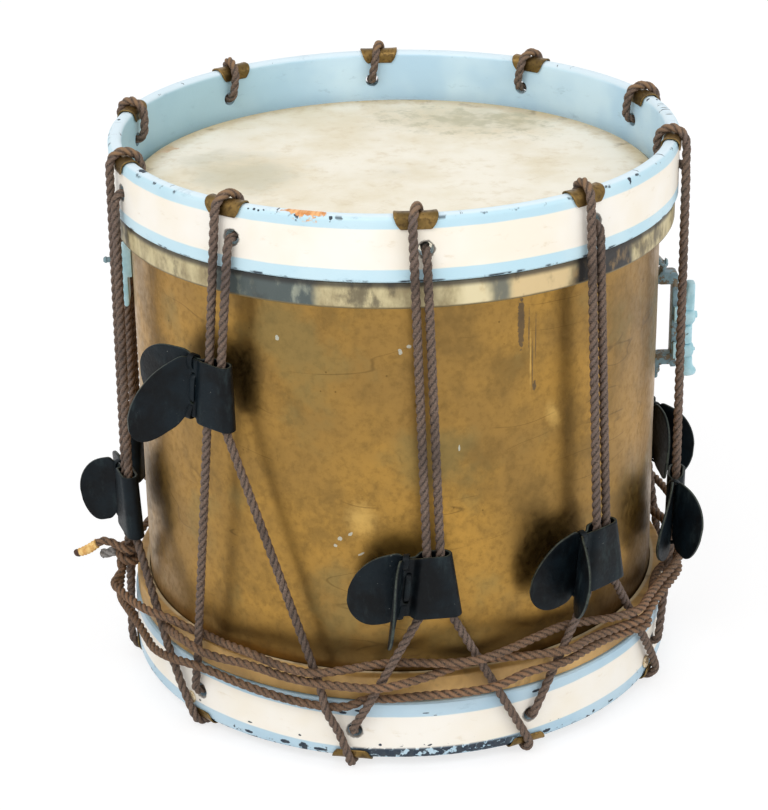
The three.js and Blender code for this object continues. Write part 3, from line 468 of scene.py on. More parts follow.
def smooth_curve(points):
    """A centripetal Catmull-Rom curve through all points."""
    ends = [points[0] * 2 - points[1], *points, points[-1] * 2 - points[-2]]
    line = []
    for p0, p1, p2, p3 in zip(ends, ends[1:], ends[2:], ends[3:]):
        t1 = math.sqrt((p1 - p0).length)
        t2 = t1 + math.sqrt((p2 - p1).length)
        t3 = t2 + math.sqrt((p3 - p2).length)
        for i in range(CURVE_STEPS):
            t = mix(t1, t2, i / CURVE_STEPS)
            before, here, after = t / t1, (t - t1) / (t2 - t1), (t - t2) / (t3 - t2)
            middle = p1.lerp(p2, here)
            first = p0.lerp(p1, before).lerp(middle, t / t2)
            second = middle.lerp(p2.lerp(p3, after), (t - t1) / (t3 - t1))
            line.append(first.lerp(second, here))
    return [*line, points[-1]]


def lengths_along(points):
    return np.r_[0, np.cumsum(np.linalg.norm(np.diff(points, axis=0), axis=1))]


def ways_along(points):
    ways = np.gradient(points, axis=0)
    return ways / np.linalg.norm(ways, axis=1)[:, None]


def spaced(line, step):
    """Points an even distance apart along a line."""
    points = np.array([tuple(p) for p in line], float)
    points = points[np.r_[True, np.linalg.norm(np.diff(points, axis=0), axis=1) > 1e-7]]
    along = lengths_along(points)
    wanted = np.linspace(0, along[-1], max(2, round(along[-1] / step) + 1))
    return np.stack([np.interp(wanted, along, points[:, k]) for k in range(3)], -1)


def rings_along(centre, reach, angles):
    """Rings round a line at these distances and angles, with no twist between them."""
    ways = ways_along(centre)
    side = np.cross(ways[0], (0.31, 0.47, 0.83))
    sides = []
    for way in ways:
        side = side - way * (side @ way)
        side = side / np.linalg.norm(side)
        sides.append(side)
    ups = np.cross(ways, sides)
    return (centre[:, None] + np.array(sides)[:, None] * (reach * np.cos(angles))[..., None]
            + ups[:, None] * (reach * np.sin(angles))[..., None])


def laid_rope(name, line, radius=ROPE_RADIUS, lay=ROPE_LAY, phase=0.0, lowest=None):
    """A three-strand rope along a line; returns its mesh and the ring centres."""
    centre = spaced(line, lay / STRAND_RINGS)
    count = 3 * STRAND_POINTS
    around = np.array(turns(count))
    off = np.mod(around, 2 * math.pi / 3) - math.pi / 3
    middle, strand = radius * (1 - STRAND_SHARE), radius * STRAND_SHARE
    reach = middle * np.cos(off) + np.sqrt(strand ** 2 - (middle * np.sin(off)) ** 2)
    along = lengths_along(centre)
    rings = rings_along(centre, reach, around + (2 * math.pi / lay) * along[:, None] + phase)
    if lowest is not None:
        rings[..., 2] = np.maximum(rings[..., 2], lowest)
    mesh = surface(name, rings, caps=True, sharp=180)
    number = np.arange(len(mesh.vertices))
    mapped(mesh, "lay", np.stack([number % count / count, along[number // count]], -1), wraps=True)
    return mesh, centre


def ribbon(name, line, across, width, thickness):
    """A flat strip along a line, its width in one direction, with rounded edges."""
    centre = spaced(line, thickness)
    across = np.array(tuple(across))
    outs = np.cross(ways_along(centre), across)
    outs /= np.linalg.norm(outs, axis=1)[:, None]
    angles = turns(16)
    wide = np.array([squared(math.cos(a), 0.45) for a in angles]) * width / 2
    deep = np.array([squared(math.sin(a), 0.7) for a in angles]) * thickness / 2
    rings = centre[:, None] + across * wide[:, None] + outs[:, None] * deep[:, None]
    return surface(name, rings, caps=True, sharp=70)


def round_bar(ends, radius, sides):
    """A straight round bar between two points."""
    centre = np.array([tuple(end) for end in ends])
    rings = rings_along(centre, np.full((2, 1), radius), np.array(turns(sides)))
    return surface("bar", rings, caps=True)


# Lacing

def hoop_side(away):
    """(radius, depth) round a counterhoop's edge from outside to inside, off its surface."""
    outer = HOOP_OUTER + away
    inner = HOOP_INNER * FLAT_SHARE - away
    corner = HALF_ROUND + away * (1 - ROOT_HALF)
    depth = HALF_ROUND - away * ROOT_HALF
    return [
        (outer, HOOP_ROUND), (outer - corner, depth), (HOOP_OUTER - HOOP_ROUND, -away),
        (HOOP_INNER + HOOP_ROUND, -away), (inner + corner, depth), (inner, HOOP_ROUND),
    ]


def over_edge(level, start, end):
    """In from the strand, round the hoop's edge and down inside."""
    return [at(r, mix(start, end, share), level(depth))
            for (r, depth), share in zip(hoop_side(ROPE_CLEAR), TOP_SHARES)]


def through_hole(angle, height, away):
    """From inside the hoop out to the strand, which leaves up (1) or down (-1)."""
    soft = ROPE_BEND * (1 - ROOT_HALF)
    lift = ROPE_RADIUS + GAP
    return [
        at(INSIDE_RADIUS, angle, height - away * ROPE_BEND),
        at(INSIDE_RADIUS + soft, angle, height - away * soft),
        at(INSIDE_RADIUS + ROPE_BEND, angle, height),
        at(HOOP_OUTER + lift * ROOT_HALF, angle, height + away * 2 * GAP),
        at(STRAND_RADIUS, angle, height + away * lift / ROOT_HALF),
    ]


def passing(start, end, height, radius):
    """Where a strand passes a height, moved to a distance from the axis."""
    point = start.lerp(end, (start.z - height) / (start.z - end.z))
    return at(radius, math.degrees(math.atan2(point.x, -point.y)), height)


def bottom_hole(number):
    low = STATION_TABLE[number % STATIONS].low
    return FIRST_STATION + 360 / STATIONS * number + BOTTOM_HOLE_LEAD + low


class Place:
    """A station of the lacing, with the frame of its ear: u goes to the right, v up the
    strands and w outwards."""

    def __init__(self, number):
        station = self.station = STATION_TABLE[number]
        self.angle = FIRST_STATION + 360 / STATIONS * number + station.turn
        self.top_hole = self.angle + TOP_HOLE_LEAD
        self.hole = bottom_hole(number)
        self.next_hole = bottom_hole(number + 1)
        self.centre = at(EAR_RADIUS, self.angle + station.lean, station.ear)
        across = at(1, self.angle + TOP_HOLE_LEAD / 2 + 90, 0) * (STRAND_SPACING / 2)
        left_top = at(STRAND_RADIUS, self.angle, batter_level(HOOP_ROUND))
        right_top = through_hole(self.top_hole, TOP_HOLE_HEIGHT, -1)[-1]
        left_way = (left_top - self.centre + across).normalized()
        right_way = (right_top - self.centre - across).normalized()
        self.up = (left_way + right_way).normalized()
        self.out = across.cross(self.up).normalized()
        self.right = self.up.cross(self.out)
        self.left_pinch = self.point(-STRAND_SPACING / 2, -PINCH_BELOW, 0)
        self.right_pinch = self.point(STRAND_SPACING / 2, -PINCH_BELOW, 0)
        leaving = through_hole(self.hole, BOTTOM_HOLE_HEIGHT, 1)[-1]
        arriving = at(STRAND_RADIUS, self.next_hole + RIM_LEAD, snare_level(HOOP_ROUND))
        stand = LEFT_WEDGE["stand"] if number == LEFT_WEDGE["station"] else 0
        edge = (INNER_EDGE_HEIGHT, INNER_EDGE_RADIUS)
        self.left_crossing = passing(self.left_pinch, leaving, edge[0], edge[1] + stand)
        crossing = passing(self.right_pinch, arriving, *edge)
        self.landing = passing(crossing, arriving, BOTTOM_HOLE_HEIGHT, STRAND_RADIUS)
        self.wedged = [crossing]
        if number == RIGHT_WEDGE["station"]:
            self.wedged = [
                passing(self.right_pinch, arriving, RIGHT_WEDGE["clear"], STRAND_RADIUS),
                passing(self.right_pinch, arriving, RIGHT_WEDGE["height"], RIGHT_WEDGE["radius"]),
            ]
        self.ropes_below = [
            self.spread(self.left_pinch, self.left_crossing),
            self.spread(self.right_pinch, crossing),
        ]
        self.ropes_above = [(-STRAND_SPACING / 2, 0), (STRAND_SPACING / 2, 0)]

    def point(self, u, v, w):
        return self.centre + self.right * u + self.up * v + self.out * w

    def spread(self, pinch, crossing):
        """Where a strand passes the ear's lower end, as u and w."""
        way = crossing - pinch
        end = pinch + way * ((EAR_HEIGHT / 2 - PINCH_BELOW) / -way.dot(self.up)) - self.centre
        return end.dot(self.right), end.dot(self.out)

    def lacing(self):
        """From the snare hoop's hole up, over and through the batter hoop, and down again."""
        return [
            *through_hole(self.hole, BOTTOM_HOLE_HEIGHT, 1), self.left_crossing, self.left_pinch,
            *over_edge(batter_level, self.angle, self.top_hole),
            *through_hole(self.top_hole, TOP_HOLE_HEIGHT, -1), self.right_pinch, *self.wedged,
            self.landing, *over_edge(snare_level, self.next_hole + RIM_LEAD, self.next_hole),
        ]


places = [Place(number) for number in range(STATIONS)]


# Finishes

def colour(red, green, blue):
    """A colour as it looks on a screen, 0 to 255, for a shader."""
    parts = [part / 255 for part in (red, green, blue)]
    return (*[p / 12.92 if p <= 0.04045 else ((p + 0.055) / 1.055) ** 2.4 for p in parts], 1)


class Nodes:
    """A node tree, put together by calls."""

    def __init__(self, owner):
        owner.use_nodes = True
        self.tree = owner.node_tree
        self.tree.nodes.clear()

    def node(self, kind, inputs=None, **settings):
        made = self.tree.nodes.new(kind)
        for key, value in settings.items():
            setattr(made, key, value)
        for key, value in (inputs or {}).items():
            self.feed(made.inputs[key], value)
        return made

    def feed(self, socket, value):
        if isinstance(value, bpy.types.NodeSocket):
            self.tree.links.new(value, socket)
        else:
            socket.default_value = value

    def math(self, operation, *values):
        return self.node("ShaderNodeMath", dict(enumerate(values)), operation=operation).outputs[0]

    def plus(self, a, b, times=1):
        """a, and b some times over."""
        return self.math("MULTIPLY_ADD", b, times, a)

    def minus(self, a, b):
        return self.math("SUBTRACT", a, b)

    def both(self, *masks):
        """The product: where all masks hold."""
        whole = masks[0]
        for mask in masks[1:]:
            whole = self.math("MULTIPLY", whole, mask)
        return whole

    def either(self, *masks):
        whole = masks[0]
        for mask in masks[1:]:
            whole = self.math("MAXIMUM", whole, mask)
        return whole

    def seen(self):
        """1 for what the camera, a reflection or glass sees."""
        rays = self.node("ShaderNodeLightPath").outputs
        kinds = ("Camera", "Glossy", "Transmission")
        return self.either(*[rays[f"Is {kind} Ray"] for kind in kinds])


class Finish(Nodes):
    """A node material of patterns in the drum's own space. Its tone is laid on in coats."""

    def __init__(self, name):
        self.material = bpy.data.materials.new(name)
        super().__init__(self.material)
        output = self.node("ShaderNodeOutputMaterial")
        self.shader = self.node("ShaderNodeBsdfPrincipled")
        self.feed(output.inputs["Surface"], self.shader.outputs["BSDF"])
        self.place = self.node("ShaderNodeTexCoord").outputs["Object"]
        self.x, self.y, self.z = self.node("ShaderNodeSeparateXYZ", {0: self.place}).outputs
        self.tone = None
        self.bumped = None

    def step(self, value, low, high, start=0.0, end=1.0):
        """Goes smoothly from start to end as the value goes from low to high."""
        values = {"Value": value, "From Min": low, "From Max": high, "To Min": start, "To Max": end}
        return self.node("ShaderNodeMapRange", values, interpolation_type="SMOOTHSTEP").outputs[0]

    def band(self, value, low, high, soft):
        """1 between low and high, 0 outside, with soft edges."""
        return self.both(self.step(value, low - soft, low + soft),
                         self.step(value, high + soft, high - soft))

    def mix(self, share, a, b):
        """A colour between two, each a socket or red, green and blue."""
        a, b = [colour(*tone) if isinstance(tone, tuple) else tone for tone in (a, b)]
        return self.node("ShaderNodeMix", {0: share, 6: a, 7: b}, data_type="RGBA").outputs[2]

    def blend(self, value, low, high, a, b):
        """From one colour to another as the value goes from low to high."""
        return self.mix(self.step(value, low, high), a, b)

    def coat(self, share, tone):
        self.tone = self.mix(share, self.tone, tone)

    def noise(self, scale, stretch=(1, 1, 1), detail=3, roughness=0.55, place=None, shift=0):
        spot = {"Vector": place or self.place, "Scale": stretch, "Location": (shift, shift, shift)}
        values = {"Vector": self.node("ShaderNodeMapping", spot).outputs[0],
                  "Scale": scale, "Detail": detail, "Roughness": roughness}
        return self.node("ShaderNodeTexNoise", values).outputs[0]

    def reach(self):
        """Distance from the drum's axis."""
        return self.math("SQRT", self.plus(self.both(self.x, self.x), self.both(self.y, self.y)))

    def upper(self):
        """1 in the drum's upper half."""
        return self.step(self.z, *MIDDLE)

    def unrolled(self, radius):
        """Places on the drum's side laid flat: metres round from the front, and height."""
        around = self.both(self.math("ARCTAN2", self.x, self.both(self.y, -1)), radius)
        return around, self.node("ShaderNodeCombineXYZ", {0: around, 1: self.z}).outputs[0]

    def own_map(self, name):
        """A piece's own UV map, and the map's two values."""
        place = self.node("ShaderNodeUVMap", uv_map=name).outputs[0]
        across, along, _ = self.node("ShaderNodeSeparateXYZ", {0: place}).outputs
        return place, across, along

    def off_middle(self, share):
        return self.math("ABSOLUTE", self.minus(share, 0.5))

    def spots(self, where, marks):
        """How near the nearest mark is, as a share of its size. A mark is its two places, its
        two half sizes and its lean in degrees."""
        nearest = None
        for a, b, wide, tall, lean in marks:
            spot = {"Vector": where, "Location": (a, b, 0), "Scale": (wide, tall, 1),
                    "Rotation": (0, 0, math.radians(lean))}
            off = self.node("ShaderNodeMapping", spot, vector_type="TEXTURE").outputs[0]
            far = self.node("ShaderNodeVectorMath", {0: off}, operation="LENGTH").outputs["Value"]
            nearest = far if nearest is None else self.math("MINIMUM", nearest, far)
        return nearest

    def rough_spots(self, where, marks, ragged, scale):
        """1 inside the marks, whose outlines are ragged."""
        edge = self.minus(self.noise(scale), 0.5)
        return self.step(self.plus(self.spots(where, marks), edge, 2 * ragged), 1.08, 0.92)

    def bump(self, height, distance):
        """Heights from 0 to 1 stand for a distance in metres."""
        values = {"Height": height, "Distance": distance, "Strength": 1.0}
        if self.bumped:
            values["Normal"] = self.bumped
        self.bumped = self.node("ShaderNodeBump", values).outputs[0]

    def done(self, roughness, metallic=0.0, **others):
        values = {"Base Color": self.tone, "Roughness": roughness, "Metallic": metallic, **others}
        if self.bumped:
            values["Normal"] = self.bumped
        for key, value in values.items():
            self.feed(self.shader.inputs[key.replace("_", " ")], value)
        return self.material


def around_mark(degrees, radius):
    """Metres round the drum's side from the front."""
    return math.radians(degrees) * radius


def on_side(marks, radius, level=0.0):
    """Marks given by angle and height, as marks on the unrolled side."""
    return [(around_mark(a, radius), level + z, *rest) for a, z, *rest in marks]


def brass_finish():
    """Old sheet brass: golden brown, mottled, scuffed and scratched."""
    f = Finish("aged_brass")
    _, flat = f.unrolled(SHELL_RADIUS)
    broad = f.noise(9, detail=4)
    mottle = f.noise(24, (1, 1, 0.8), detail=7, roughness=0.66)
    grain = f.noise(200, detail=5, roughness=0.65)
    f.tone = f.blend(broad, 0.35, 0.68, (153, 120, 67), (184, 142, 70))
    f.coat(f.step(mottle, 0.46, 0.64, 0, 0.5), (112, 90, 54))
    f.coat(f.step(grain, 0.44, 0.70, 0, 0.35), (122, 96, 54))
    f.coat(f.step(f.noise(16, shift=4.1, detail=5), 0.55, 0.7, 0, 0.4), (128, 120, 80))
    # Darker towards the bottom of the shell; lower still, painted shade along the foot, deepest on
    # the right side
    f.coat(f.step(f.plus(f.z, broad, 0.06), 0.16, 0.06, 0, 0.55), (112, 88, 52))
    foot = f.step(f.plus(f.z, mottle, 0.05), 0.135, 0.100)
    f.coat(f.both(foot, f.step(f.x, -0.12, 0.10, 0.25, 0.8)), (66, 50, 30))
    drips = f.both(f.rough_spots(flat, on_side(BRASS_DRIPS, SHELL_RADIUS), 0.7, 500), 0.75)
    f.coat(drips, (62, 48, 30))
    gold = f.plus(f.spots(flat, on_side(BRASS_GOLD, SHELL_RADIUS)), grain, 0.8)
    f.coat(f.step(gold, 1.7, 0.5, 0, 0.6), (226, 186, 108))
    paint = f.both(f.rough_spots(flat, on_side(BRASS_PAINT, SHELL_RADIUS), 0.7, 700), 0.6)
    f.coat(paint, (206, 214, 204))
    cells = f.node("ShaderNodeTexVoronoi", {"Vector": flat, "Scale": 120, "Randomness": 1.0})
    flecks = f.both(f.step(cells.outputs["Distance"], 0.11, 0.05),
                    f.step(f.noise(35, shift=9), 0.56, 0.62), 0.55)
    f.coat(flecks, (72, 54, 30))
    scratch = f.noise(26, (0.25, 1, 1), detail=2, roughness=0.4, place=flat, shift=2)
    scratch = f.both(f.band(scratch, 0.497, 0.503, 0.003),
                     f.step(f.noise(20, shift=6), 0.5, 0.6), 0.45)
    f.coat(scratch, (86, 66, 40))
    f.bump(f.noise(11, detail=2), 0.0011)
    f.bump(grain, 0.00012)
    roughness = f.plus(f.step(grain, 0.3, 0.75, 0.30, 0.46), f.step(broad, 0.4, 0.7, 0, 0.08))
    return f.done(roughness, f.minus(1, f.either(paint, drips)))


def skin_finish():
    """Calfskin heads: cream and stained on top, tan and blackened where they lap."""
    f = Finish("drum_skin")
    reach = f.reach()
    broad = f.noise(12, detail=5, roughness=0.6)
    fine = f.noise(75, detail=6, roughness=0.65, shift=3)
    f.tone = f.blend(broad, 0.36, 0.66, (250, 243, 226), (236, 224, 196))
    f.coat(f.step(fine, 0.5, 0.72, 0, 0.4), (214, 196, 160))
    patch = f.plus(f.spots(f.place, [SKIN_PATCH]), f.minus(broad, 0.5), 1.9)
    f.coat(f.both(f.step(patch, 1.1, 0.6), 0.5), (182, 178, 150))
    stain = f.plus(f.spots(f.place, [SKIN_STAIN]), f.minus(fine, 0.5), 2.6)
    uneven = f.step(f.noise(70, shift=5, detail=5), 0.36, 0.6, 0.25, 0.7)
    f.coat(f.both(f.step(stain, 1.2, 0.55), uneven), (180, 172, 136))
    f.coat(f.both(f.rough_spots(f.place, SKIN_RUBS, 0.8, 160), 0.6), (224, 160, 110))
    rim = f.step(f.plus(reach, fine, 0.016), 0.172, 0.190)
    f.coat(f.both(rim, 0.8), (196, 170, 122))
    f.coat(f.both(rim, f.step(f.noise(60, shift=8), 0.55, 0.66), 0.55), (120, 96, 66))
    top = f.tone
    # The laps: the upper one in blocks, with soot, painted shade in a dark line along its top under
    # the counterhoop, and a pale one below
    around, flat = f.unrolled(LAP_RADIUS)
    mottle = f.noise(80, (1, 0.55, 1), detail=6, roughness=0.62, place=flat)
    coarse = f.noise(26, (1, 0.7, 1), detail=4, place=flat, shift=2)
    f.tone = f.blend(mottle, 0.36, 0.66, (206, 192, 148), (158, 142, 104))
    ragged = f.plus(around, f.minus(coarse, 0.5), 0.034)
    for start, end, dark, light in LAP_BLOCKS:
        block = f.band(ragged, around_mark(start, LAP_RADIUS), around_mark(end, LAP_RADIUS), 0.005)
        f.coat(block, f.blend(mottle, 0.50, 0.72, dark, light))
    f.coat(f.step(f.plus(mottle, coarse, 1.1), 1.14, 1.32, 0, 0.55), (46, 46, 42))
    rise = f.minus(f.z, BATTER_LAP_LOW)
    # Painted shade: a dark line along the top of the upper lap, under the counterhoop's edge
    f.coat(f.step(rise, 0.0125, 0.0165, 0, 0.85), (34, 30, 26))
    f.coat(f.step(rise, 0.0022, 0.0008), (120, 104, 66))
    lower = f.blend(coarse, 0.36, 0.64, (212, 170, 104), (172, 134, 76))
    lower = f.mix(f.step(mottle, 0.52, 0.66, 0, 0.4), lower, (104, 82, 52))
    side = f.step(reach, SHELL_RADIUS + 0.002, SHELL_RADIUS + 0.004)
    f.tone = f.mix(side, top, f.mix(f.upper(), lower, f.tone))
    f.bump(broad, 0.0006)
    f.bump(mottle, 0.0004)
    f.bump(fine, 0.00015)
    return f.done(f.step(fine, 0.3, 0.7, 0.42, 0.6))


def ash_finish():
    """Plain bent ash of the hidden flesh hoops."""
    f = Finish("ash_wood")
    grain = f.noise(180, (0.06, 1, 1), detail=4, place=f.unrolled(SHELL_RADIUS)[1])
    f.tone = f.blend(grain, 0.4, 0.65, (206, 168, 112), (172, 128, 78))
    f.bump(grain, 0.0002)
    return f.done(f.step(grain, 0.3, 0.7, 0.5, 0.65))


def hoop_finish():
    """Gloss paint on the counterhoops: sky blue with a cream band, chipped to navy and wood."""
    f = Finish("painted_wood")
    around, flat = f.unrolled(HOOP_OUTER)
    reach = f.reach()
    fine = f.noise(300, detail=4, place=flat)
    wave = f.both(f.minus(f.noise(28, place=flat), 0.5), 0.0012)
    broad = f.noise(14, shift=1)
    upper = f.upper()
    depth = f.plus(f.minus(BATTER_EDGE, f.z), wave)
    height = f.minus(f.z, SNARE_EDGE)
    outside = f.step(reach, HOOP_OUTER - 0.0016, HOOP_OUTER - 0.0008)
    inside = f.step(reach, HOOP_INNER + 0.0016, HOOP_INNER + 0.0006)
    # Blue, with painted light: paler inside and on the rim, and painted shade inside on the left
    mild = f.step(broad, 0.38, 0.64)
    inner = f.mix(mild, (212, 240, 255), (190, 224, 246))
    # Painted shade on the inner wall's left side, away from the key lamp
    inner = f.mix(f.step(f.x, -0.03, -0.15, 0, 0.7), inner, (152, 192, 204))
    f.tone = f.mix(upper, f.mix(mild, (192, 218, 232), (174, 206, 224)),
                   f.mix(mild, (204, 232, 242), (190, 224, 237)))
    f.coat(inside, inner)
    # Painted highlight: the top of the rim made nearly white where light falls from above
    rim = f.step(reach, HOOP_OUTER - 0.0008, HOOP_OUTER - 0.0026)
    f.coat(f.both(f.step(depth, 0.0034, 0.0012), rim, 0.9), (224, 241, 250))
    # Cream bands
    rise = f.step(f.math("ABSOLUTE", around), 0.02, 0.16, 0, 0.0030)
    upper_band = f.both(upper, f.band(depth, *BATTER_CREAM, 0.0005))
    lower_band = f.band(f.plus(f.minus(height, rise), wave), *SNARE_CREAM, 0.0005)
    cream = f.both(f.either(upper_band, f.both(f.minus(1, upper), lower_band)), outside)
    f.coat(cream, f.blend(broad, 0.36, 0.66, (253, 248, 238), (249, 240, 222)))
    rubs = f.noise(55, (1, 2.2, 1), detail=5, roughness=0.7, place=flat, shift=3)
    f.coat(f.step(rubs, 0.58, 0.74, 0, 0.35), f.mix(cream, (132, 168, 186), (212, 190, 150)))
    # Chips: first down to the navy undercoat, then to bare wood. The navy also paints shade in a
    # line along the batter hoop's lower edge
    edges = f.noise(150, (1, 1.3, 1), detail=5, roughness=0.62, place=flat, shift=5)
    on_rim = f.step(depth, 0.006, 0.004)
    front = [around_mark(angle, HOOP_OUTER) for angle in (-12, 24)]
    round_chips = [(a, r, size, size * 0.55) for a, r, size in RIM_CHIPS]
    navy = f.either(
        f.both(f.step(f.plus(edges, f.step(height, 0.0075, 0.0005), 0.13), 0.655, 0.675),
               f.step(height, 0.014, 0.0125)),
        f.both(f.band(around, *front, 0.012), f.band(height, 0.0012, 0.0085, 0.0012),
               f.step(edges, 0.44, 0.47)),
        f.both(f.step(depth, 0.0045, 0.0004), f.step(edges, 0.64, 0.665)),
        f.both(f.step(depth, 0.0036, 0.0012),
               f.step(reach, HOOP_OUTER - 0.0028, HOOP_OUTER - 0.0004),
               f.step(f.noise(95, place=flat, shift=11), 0.57, 0.62)),
        f.rough_spots(flat, on_side(SNARE_CHIPS, HOOP_OUTER, SNARE_EDGE), 0.75, 420),
        f.both(f.rough_spots(f.place, rim_marks(round_chips), 0.6, 420), on_rim),
        # Painted shade: a patchy dark line along the batter hoop's lower edge, over the gap above
        # the lap
        f.both(f.band(depth, 0.0425, 0.0444, 0.0006), outside,
               f.step(f.noise(70, place=flat, shift=7), 0.5, 0.6)),
    )
    f.coat(navy, f.blend(fine, 0.4, 0.6, (28, 44, 62), (52, 62, 72)))
    wood = f.both(f.rough_spots(f.place, rim_marks(WOOD_CHIPS), 0.7, 260), on_rim)
    f.coat(wood, f.blend(fine, 0.4, 0.62, (250, 190, 128), (216, 142, 80)))
    # Darker round the rope holes
    holes = [(place.top_hole, TOP_HOLE_HEIGHT) for place in places]
    holes += [(place.hole, BOTTOM_HOLE_HEIGHT) for place in places]
    holes = [((a + 180) % 360 - 180, z, 0.0062, 0.0062, 0) for a, z in holes]
    hole_darkening = f.rough_spots(flat, on_side(holes, HOOP_OUTER), 0.25, 260)
    f.coat(f.both(hole_darkening, outside, 0.75), (44, 32, 24))
    # Chips, and the painted shade line with them, are bumped lower and made rougher
    bare = f.either(navy, wood)
    f.bump(f.minus(1, bare), 0.0003)
    f.bump(f.noise(26, (1, 2, 1), detail=2, place=flat, shift=8), 0.0005)
    f.bump(fine, 0.00006)
    return f.done(f.plus(f.step(bare, 0, 1, 0.34, 0.6), f.step(fine, 0.3, 0.7, 0, 0.08)))


def rim_marks(chips):
    """Marks on a hoop's rim, seen from above."""
    return [(*at(r, a, 0).xy, wide, deep, a) for a, r, wide, deep in chips]


def guard_finish():
    """Thin brass gone brown, darker in fine patches."""
    f = Finish("guard_brass")
    broad = f.noise(70, detail=4)
    fine = f.noise(420, detail=4, shift=2)
    f.tone = f.blend(broad, 0.38, 0.64, (108, 87, 48), (140, 112, 64))
    f.coat(f.step(fine, 0.48, 0.68, 0, 0.6), (70, 52, 34))
    f.bump(broad, 0.0003)
    f.bump(fine, 0.00005)
    return f.done(f.step(fine, 0.3, 0.7, 0.3, 0.5), 0.85)


def rope_finish(name, dark, light, sheen, rims=False, warm=0.0):
    """Laid hemp: crowns worn lighter and given a painted highlight, painted shade between the
    strands, fibres along the lay in a painted sheen.
    """
    f = Finish(name)
    lay, across, _ = f.own_map("lay")
    fibres = f.noise(1, (26, 900, 1), detail=4, roughness=0.6, place=lay)
    crown = f.minus(1, f.both(f.off_middle(f.math("FRACT", f.both(across, 3))), 2))
    # Painted shade in the grooves between strands, and a painted highlight on their crowns
    f.tone = f.blend(crown, 0.0, 0.6, dark, light)
    # Painted highlight: fibre streaks in the sheen colour
    f.coat(f.step(fibres, 0.42, 0.7, 0, 0.75), sheen)
    f.coat(f.step(f.noise(24, detail=4), 0.48, 0.7, 0, 0.45), dark)
    f.coat(f.step(f.noise(750, shift=3), 0.5, 0.7, 0, 0.5), dark)
    if rims:
        high = f.step(f.z, BATTER_EDGE + 0.001, BATTER_EDGE + 0.0045)
        f.coat(f.both(high, f.step(crown, 0.15, 0.9, 0.15, 0.85)), (150, 116, 80))
    sunny = f.both(f.step(f.noise(8, shift=8), 0.5, 0.6, 0, warm), f.step(crown, 0.2, 0.9))
    f.coat(sunny, (176, 130, 90))
    cool = f.both(f.step(f.noise(9, shift=5), 0.5, 0.66), f.step(crown, 0.4, 1), 0.35)
    f.coat(cool, (112, 104, 106))
    f.bump(fibres, 0.0003)
    f.bump(f.noise(900, shift=1), 0.0002)
    return f.done(f.step(fibres, 0.3, 0.7, 0.62, 0.8))


def whipping_finish():
    """Old cream tape round the rope's end, burnt brown at the tip."""
    f = Finish("whipping")
    lay, _, along = f.own_map("lay")
    fine = f.noise(260, detail=4)
    f.tone = f.blend(fine, 0.4, 0.62, (246, 206, 132), (224, 172, 96))
    f.coat(f.step(f.plus(along, fine, 0.25), 0.88, 0.96), (70, 42, 26))
    f.coat(f.step(f.noise(1, (9, 3, 1), place=lay), 0.58, 0.7, 0, 0.5), (150, 104, 60))
    f.bump(fine, 0.0002)
    return f.done(0.62)


def leather_finish():
    """Thick black leather with a soft sheen, rubbed grey-green, its cut edges paler."""
    f = Finish("black_leather")
    broad = f.noise(38, detail=4, roughness=0.6)
    fine = f.noise(420, detail=5, roughness=0.6, shift=2)
    scuffs = f.noise(110, (1, 1, 0.35), detail=5, roughness=0.7, shift=6)
    f.tone = f.blend(broad, 0.36, 0.66, (9, 12, 15), (18, 28, 34))
    f.coat(f.step(scuffs, 0.50, 0.76, 0, 0.5), (52, 64, 66))
    _, across, along = f.own_map("strip")
    cuts = f.either(f.step(f.off_middle(along), 0.488, 0.498),
                    f.step(f.off_middle(across), 0.490, 0.498))
    f.coat(f.both(cuts, f.step(fine, 0.36, 0.6, 0.4, 0.9), 0.55), (96, 104, 92))
    dust = f.both(f.step(f.noise(700, shift=4), 0.72, 0.76), f.step(broad, 0.5, 0.6), 0.7)
    f.coat(dust, (170, 172, 164))
    f.bump(broad, 0.0012)
    f.bump(fine, 0.00012)
    roughness = f.plus(f.step(fine, 0.3, 0.7, 0.38, 0.52), f.step(scuffs, 0.5, 0.8, 0, 0.15))
    return f.done(roughness, Specular_IOR_Level=0.15)


def disc_finish():
    """Cream paint on a round screw head, grimy in patches."""
    f = Finish("disc_paint")
    fine = f.noise(600, detail=4)
    f.tone = f.blend(fine, 0.4, 0.62, (236, 220, 188), (206, 178, 130))
    f.coat(f.step(f.noise(240, shift=3), 0.50, 0.62, 0, 0.7), (120, 92, 58))
    f.bump(fine, 0.0002)
    return f.done(f.step(fine, 0.3, 0.7, 0.4, 0.6), 0.1)


def fitting_finish(name, first, second, worn, wear):
    """Metal under thin pale blue paint, worn through in patches."""
    f = Finish(name)
    fine = f.noise(500, detail=4, shift=2)
    f.tone = f.blend(f.noise(120, detail=4), 0.38, 0.64, first, second)
    bare = f.step(f.noise(210, detail=5, roughness=0.65, shift=5), wear, wear + 0.08)
    f.coat(f.both(bare, 0.85), worn)
    f.bump(f.minus(1, bare), 0.0002)
    f.bump(fine, 0.0001)
    return f.done(f.step(fine, 0.3, 0.7, 0.32, 0.5), f.both(bare, 0.8))


# Shell, heads and flesh hoops

def lathe(name, outline, sway=None, closed=True):
    """Turned about the drum's axis from an outline of (radius, height), its points moved out
    by sway(angle, radius, height)."""
    angles = [360 * i / AROUND for i in range(AROUND)]
    rings = [[at(r + (sway(a, r, z) if sway else 0), a, z) for a in angles] for r, z in outline]
    return surface(name, rings, along=closed, caps=not closed)


def rounded_outline(corners, reach, steps=3):
    """An outline of (radius, height) with the corners between its ends rounded off."""
    return [(p.x, p.z) for p in rounded([Vector((r, 0, z)) for r, z in corners], reach, steps)]


